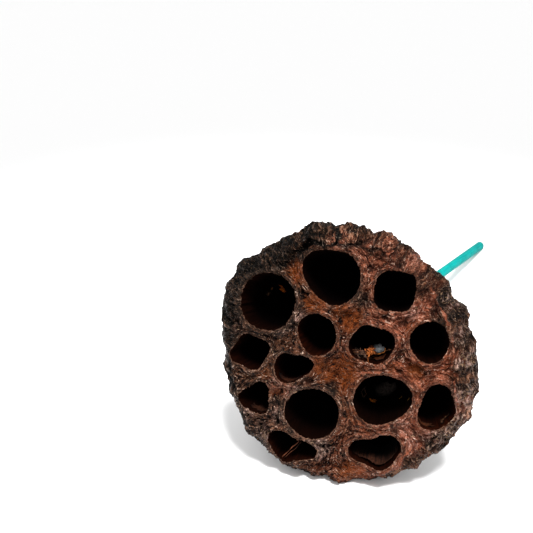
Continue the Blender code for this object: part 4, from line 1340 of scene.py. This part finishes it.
def raggedDisc(size, seed):
    # A square grid drawn into a disc with a torn edge
    u, v = np.meshgrid(np.linspace(-1.0, 1.0, size), np.linspace(-1.0, 1.0, size), indexing="ij")
    across, down = u * np.sqrt(1.0 - v * v / 2.0), v * np.sqrt(1.0 - u * u / 2.0)
    turn = np.arctan2(down, across)
    often, deeply = tornLining["torn"]
    torn = 1.0 + deeply * noiseAt(often * np.cos(turn), often * np.sin(turn), seed)
    return across * torn, down * torn


def addStrand(sheets, knots, width, colour, seed):
    # A thin flat strand through a few places, wandering a little between them
    run = np.linspace(0.0, len(knots) - 1.0, tornLining["strandPoints"])
    path = np.stack([np.interp(run, np.arange(len(knots)), knots[:, axis]) for axis in range(3)], axis=1)
    often, far = tornLining["strandWander"]
    wander = np.stack([noiseAt(run * often, seed, axis + 80.0) for axis in range(3)], axis=1)
    path = path + far * wander * np.sin(run / run[-1] * math.pi)[:, None]
    along = np.gradient(path, axis=0)
    side = np.stack((along[:, 1], -along[:, 0], 0.3 * along[:, 2]), axis=1)
    side = side / np.maximum(np.linalg.norm(side, axis=1, keepdims=True), 1e-6)
    often, middle, swing = tornLining["strandWidths"]
    widths = width * (middle + swing * noiseAt(run * often, seed, 90.0))
    across = np.linspace(-0.5, 0.5, 3)
    grid = path[:, None, :] + side[:, None, :] * widths[:, None, None] * across[None, :, None]
    often, middle, swing = tornLining["strandLight"]
    shade = np.tile(middle + swing * noiseAt(run * often, seed * 3.1, 95.0)[:, None], (1, 3))
    addSheet(sheets, onFace(grid[..., 0], grid[..., 1], grid[..., 2]), colour, np.maximum(shade, 0.1))


def addFlakes(sheets):
    often, middle, swing = tornLining["flakeCurl"]
    lightest, less = tornLining["flakeLight"]
    for seed, (number, turn, depth, halfAcross, halfDown, lift, colour) in enumerate(tornLining["flakes"]):
        hole = podForm["holes"][number]
        across, down = raggedDisc(tornLining["flakePoints"], 3.7 * seed + 1.0)
        angle = math.radians(turn) + across * halfAcross / (tornLining["wallReach"] * hole[3])
        curl = middle + swing * noiseAt(often * across, often * down, seed)
        places = wallPlaces(hole, angle, depth + down * halfDown, tornLining["offWall"] + lift * curl)
        addSheet(sheets, places, colour, lightest - less * (across ** 2 + down ** 2))


def addScraps(sheets):
    often, shown = tornLining["scrapFolds"]
    lightest, less = tornLining["scrapLight"]
    for seed, (x, y, w, halfWidth, halfHeight, turn, crumple, colour) in enumerate(tornLining["scraps"]):
        across, down = raggedDisc(tornLining["scrapPoints"], 5.3 * seed + 40.0)
        wide, high = across * halfWidth, down * halfHeight
        turned = math.radians(turn)
        placeX = x + wide * math.cos(turned) - high * math.sin(turned)
        placeY = y + wide * math.sin(turned) + high * math.cos(turned)
        folds = noiseAt(often * wide, often * high, seed + 60.0)
        shade = np.clip(lightest - less * np.hypot(across, down) ** 2 + shown * crumple * folds, 0.15, 1.2)
        placeW = w - tornLining["scrapLean"] * high + crumple * folds
        addSheet(sheets, onFace(placeX, placeY, placeW), colour, shade)


def addKnots(sheets):
    apart, halfLength, bent = tornLining["knotStrands"]
    for seed, (x, y, w, reach, count, width, colour) in enumerate(tornLining["knots"]):
        chance = np.random.default_rng(75 + seed)
        for strand in range(count):
            turn = chance.uniform(0.0, math.tau)
            middle = np.array((x, y, w)) + chance.normal(0.0, apart, 3) * reach
            half = np.array((math.cos(turn), math.sin(turn), chance.uniform(-0.5, 0.5))) * reach * halfLength
            bend = chance.normal(0.0, bent, 3) * reach
            addStrand(sheets, np.array((middle - half, middle + bend, middle + half)), width, colour,
                      10.0 * seed + strand)


def addLiner(sheets):
    number, first, lowest, last, gap, deep, colour = tornLining["liner"]
    columns, rows = tornLining["linerPoints"]
    turn, down = np.meshgrid(np.linspace(first, last, columns), np.linspace(0.0, 1.0, rows), indexing="ij")
    side = np.where(turn < lowest, (turn - first) / (lowest - first), (last - turn) / (last - lowest))
    least, more, torn = tornLining["linerTop"]
    top = least + more * (1.0 - side) + torn * noiseAt(turn / 5.0, 0.0, 70.0)
    wide, proud, shown = tornLining["linerStripes"]
    stripes = noiseAt(turn / wide, 0.8 * down, 75.0)
    lifted = gap * np.sin(0.5 * math.pi * side) * (1.0 - 0.55 * down)
    inwards = 0.2 + lifted + proud * stripes * (1.0 - down)
    # Light at the top, in the shadow of the hole further down and at both ends
    fade = np.clip(1.0 - 1.5 * down, 0.02, 1.0) ** 1.3
    shade = (0.55 + shown * stripes) * fade * (0.25 + 0.75 * side)
    places = wallPlaces(podForm["holes"][number], np.radians(turn), top + (deep - top) * down, inwards)
    addSheet(sheets, places, colour, np.clip(shade, 0.01, 1.2))


def buildTornLining(material):
    sheets = {"places": [], "faces": [], "tone": [], "count": 0}
    addFlakes(sheets)
    addScraps(sheets)
    addKnots(sheets)
    for seed, (width, colour, *points) in enumerate(tornLining["strands"]):
        addStrand(sheets, np.array(points), width, colour, seed)
    addLiner(sheets)

    mesh = bpy.data.meshes.new("tornLining")
    mesh.from_pydata((np.concatenate(sheets["places"]) * mm).tolist(), [], sheets["faces"])
    keepAttribute(mesh, "tone", np.concatenate(sheets["tone"]))
    mesh.materials.append(material)
    mesh.shade_smooth()
    lining = newObject("tornLining", mesh)
    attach(lining, "root")
    print("torn lining", len(mesh.polygons), "faces")
    return lining


def makeTornMaterial():
    # Dry papery lining that has come away: each scrap in its own tone, which also carries the painted light
    # and shade of the scrap folds and the liner, with fine streaks
    steps = {
        "coordinates": ("coordinates",),
        "inMillimetres": ("scaleVector", "coordinates.Object", 1.0 / mm),
        "streaks": ("noise", "inMillimetres", 1.6, 3.0, 0.6),
        "light": ("range", "streaks", 0.35, 0.65, 0.35, 1.1),
        "toned": ("scaleVector", "tone", "light"),
    }
    return makeMaterial("tornPocketLining", ("tone",), (), {}, steps,
                        {"Base Color": "toned", "Roughness": 0.8, "Specular IOR Level": 0.05})


# Stick

stickLook = {
    "sides": 40,
    "rings": 260,
    "endRings": 6,                 # over each rounded end
    "grainReach": 2.0,             # how far the grain's space goes out from the stick's axis
    "colours": {"paint": "#007f7b", "paintPale": "#00958f", "paintDark": "#006261"},
}


def stickStations():
    # Distance from the neck's end and radius, from the inner end to the one on the floor
    radius, rounding = stickForm["radius"], stickForm["endRounding"]
    underside = radius * math.cos(math.pi / stickForm["cadSides"])
    drop = neckEnd[2] - underside * math.cos(stickPitch) + stickForm["floorFlat"]
    reach = drop / math.sin(stickPitch) + rounding
    rounded = [(rounding * (1 - math.cos(turn)), radius - rounding * (1 - math.sin(turn)))
               for turn in np.linspace(0.0, math.pi / 2.0, stickLook["endRings"])]
    start = [(-stickForm["inserted"] + run, size) for run, size in rounded]
    end = [(reach - run, size) for run, size in reversed(rounded)]
    between = np.linspace(start[-1][0], end[0][0], stickLook["rings"])[1:-1]
    return start + [(float(run), radius) for run in between] + end


def buildStick(material):
    across = np.cross(stickAlong, (0.0, 0.0, 1.0))
    across = across / np.linalg.norm(across)
    up = np.cross(across, stickAlong)
    sides = stickLook["sides"]
    angle = evenTurns(sides)
    out = np.outer(np.cos(angle), across) + np.outer(np.sin(angle), up)
    places, space, faces = [], [], []
    stations = stickStations()
    for run, radius in stations:
        places.append(neckEnd + stickAlong * run + out * radius)
        space.append(roundAxis(angle, stickLook["grainReach"], run))
    for row in range(len(stations) - 1):
        ring = np.arange(sides) + row * sides
        after = np.roll(ring, -1)
        faces += np.stack((ring, after, after + sides, ring + sides), axis=1).tolist()
    faces.append(list(range(sides))[::-1])
    faces.append(list(range(sides * (len(stations) - 1), sides * len(stations))))
    places = np.concatenate(places)
    places[:, 2] = np.maximum(places[:, 2], 0.0)
    mesh = bpy.data.meshes.new("paintedStick")
    mesh.from_pydata((places * mm).tolist(), [], faces)
    keepAttribute(mesh, "stickSpace", np.concatenate(space))
    work = bmesh.new()
    work.from_mesh(mesh)
    bmesh.ops.recalc_face_normals(work, faces=work.faces)
    work.to_mesh(mesh)
    work.free()
    mesh.materials.append(material)
    mesh.shade_smooth()
    stick = newObject("paintedStick", mesh)
    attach(stick, "root")
    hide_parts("stick")
    print("stick", len(mesh.polygons), "faces")
    return stick


def makeStickMaterial():
    # Teal dye on birch dowel: satin, with lengthwise grain showing through and blotchy cover
    steps = {
        "stretched": ("stretch", "stickSpace", (1.0, 1.0, 0.06)),
        "grain": ("noise", "stretched", 2.4, 5.0, 0.6),
        "grainShare": ("range", "grain", 0.4, 0.68, 0.0, 0.7),
        "blotch": ("noise", "stickSpace", 0.22, 3.0, 0.5),
        "blotchShare": ("range", "blotch", 0.4, 0.65, 0.0, 0.7),
        "dark": ("mixColours", "blotchShare", "paintColour", "paintDarkColour"),
        "pale": ("mixColours", "grainShare", "dark", "paintPaleColour"),
        "bump": ("bump", "grain", 0.4, 0.1 * mm),
    }
    return makeMaterial("tealDyedBirch", ("stickSpace",), (), stickLook["colours"], steps,
                        {"Base Color": "pale", "Roughness": 0.5, "Normal": "bump",
                         "Specular IOR Level": 0.02})


# Stage, lights and camera

studio = {
    "cameraAzimuth": 14.0,
    "cameraPitch": 27.0,
    "cameraPlace": (62.3, -346.3, 251.7),   # from under the middle of the rim
    "lens": 89.2,
    "sensorWidth": 36.0,
    "clipStart": 0.01,                      # metres
    "floor": "#fbfbfb",
    "floorHalf": 3.0,                       # metres
    "worldStrength": 1.02,
    "keyPlace": (110.0, -150.0, 560.0),
    "keyAim": (0.0, 15.0, 35.0),
    "keyRadius": 0.16,
    "keyCone": 19.0,               # degrees, so that the floor in front doesn't light the face from below
    "keyBlend": 0.5,
    "keyPower": 115.0,
}


def buildStage():
    mesh = bpy.data.meshes.new("paperFloor")
    half = studio["floorHalf"]
    corners = [(-half, -half, 0), (half, -half, 0), (half, half, 0), (-half, half, 0)]
    mesh.from_pydata(corners, [], [(0, 1, 2, 3)])
    floor = newObject("paperFloor", mesh)
    # White paper, matt
    mesh.materials.append(makeMaterial("whitePaper", (), (), {}, {},
                                       {"Base Color": linear(studio["floor"]), "Roughness": 0.9}))

    world = bpy.data.worlds.new("studio")
    world.use_nodes = True
    background = world.node_tree.nodes["Background"]
    plug(world.node_tree, background.inputs["Color"], (1.0, 1.0, 1.0, 1.0))
    plug(world.node_tree, background.inputs["Strength"], studio["worldStrength"])
    bpy.context.scene.world = world


def underRim(place):
    # From millimetres beside the point under the rim's middle to the world's metres
    return Vector((place[0] + rimCentre[0], place[1] + rimCentre[1], place[2])) * mm


def buildLights():
    light = bpy.data.lights.new("key", "SPOT")
    light.shadow_soft_size = studio["keyRadius"]
    light.spot_size = math.radians(studio["keyCone"])
    light.spot_blend = studio["keyBlend"]
    light.energy = studio["keyPower"]
    key = newObject("key", light)
    key.location = underRim(studio["keyPlace"])
    target = underRim(studio["keyAim"])
    key.rotation_euler = (target - key.location).to_track_quat("-Z", "Y").to_euler()


def buildCamera():
    data = bpy.data.cameras.new("camera")
    data.lens = studio["lens"]
    data.sensor_width = studio["sensorWidth"]
    data.clip_start = studio["clipStart"]
    camera = newObject("camera", data)
    camera.location = underRim(studio["cameraPlace"])
    pitch, azimuth = math.radians(90.0 - studio["cameraPitch"]), math.radians(studio["cameraAzimuth"])
    camera.rotation_euler = (pitch, 0.0, azimuth)
    bpy.context.scene.camera = camera


bpy.context.scene.view_settings.view_transform = "Standard"
buildStage()
buildLights()
buildCamera()
print("stage ready")
buildPod(makeHuskMaterial(), makeLiningMaterial())
buildTornLining(makeTornMaterial())
buildStick(makeStickMaterial())
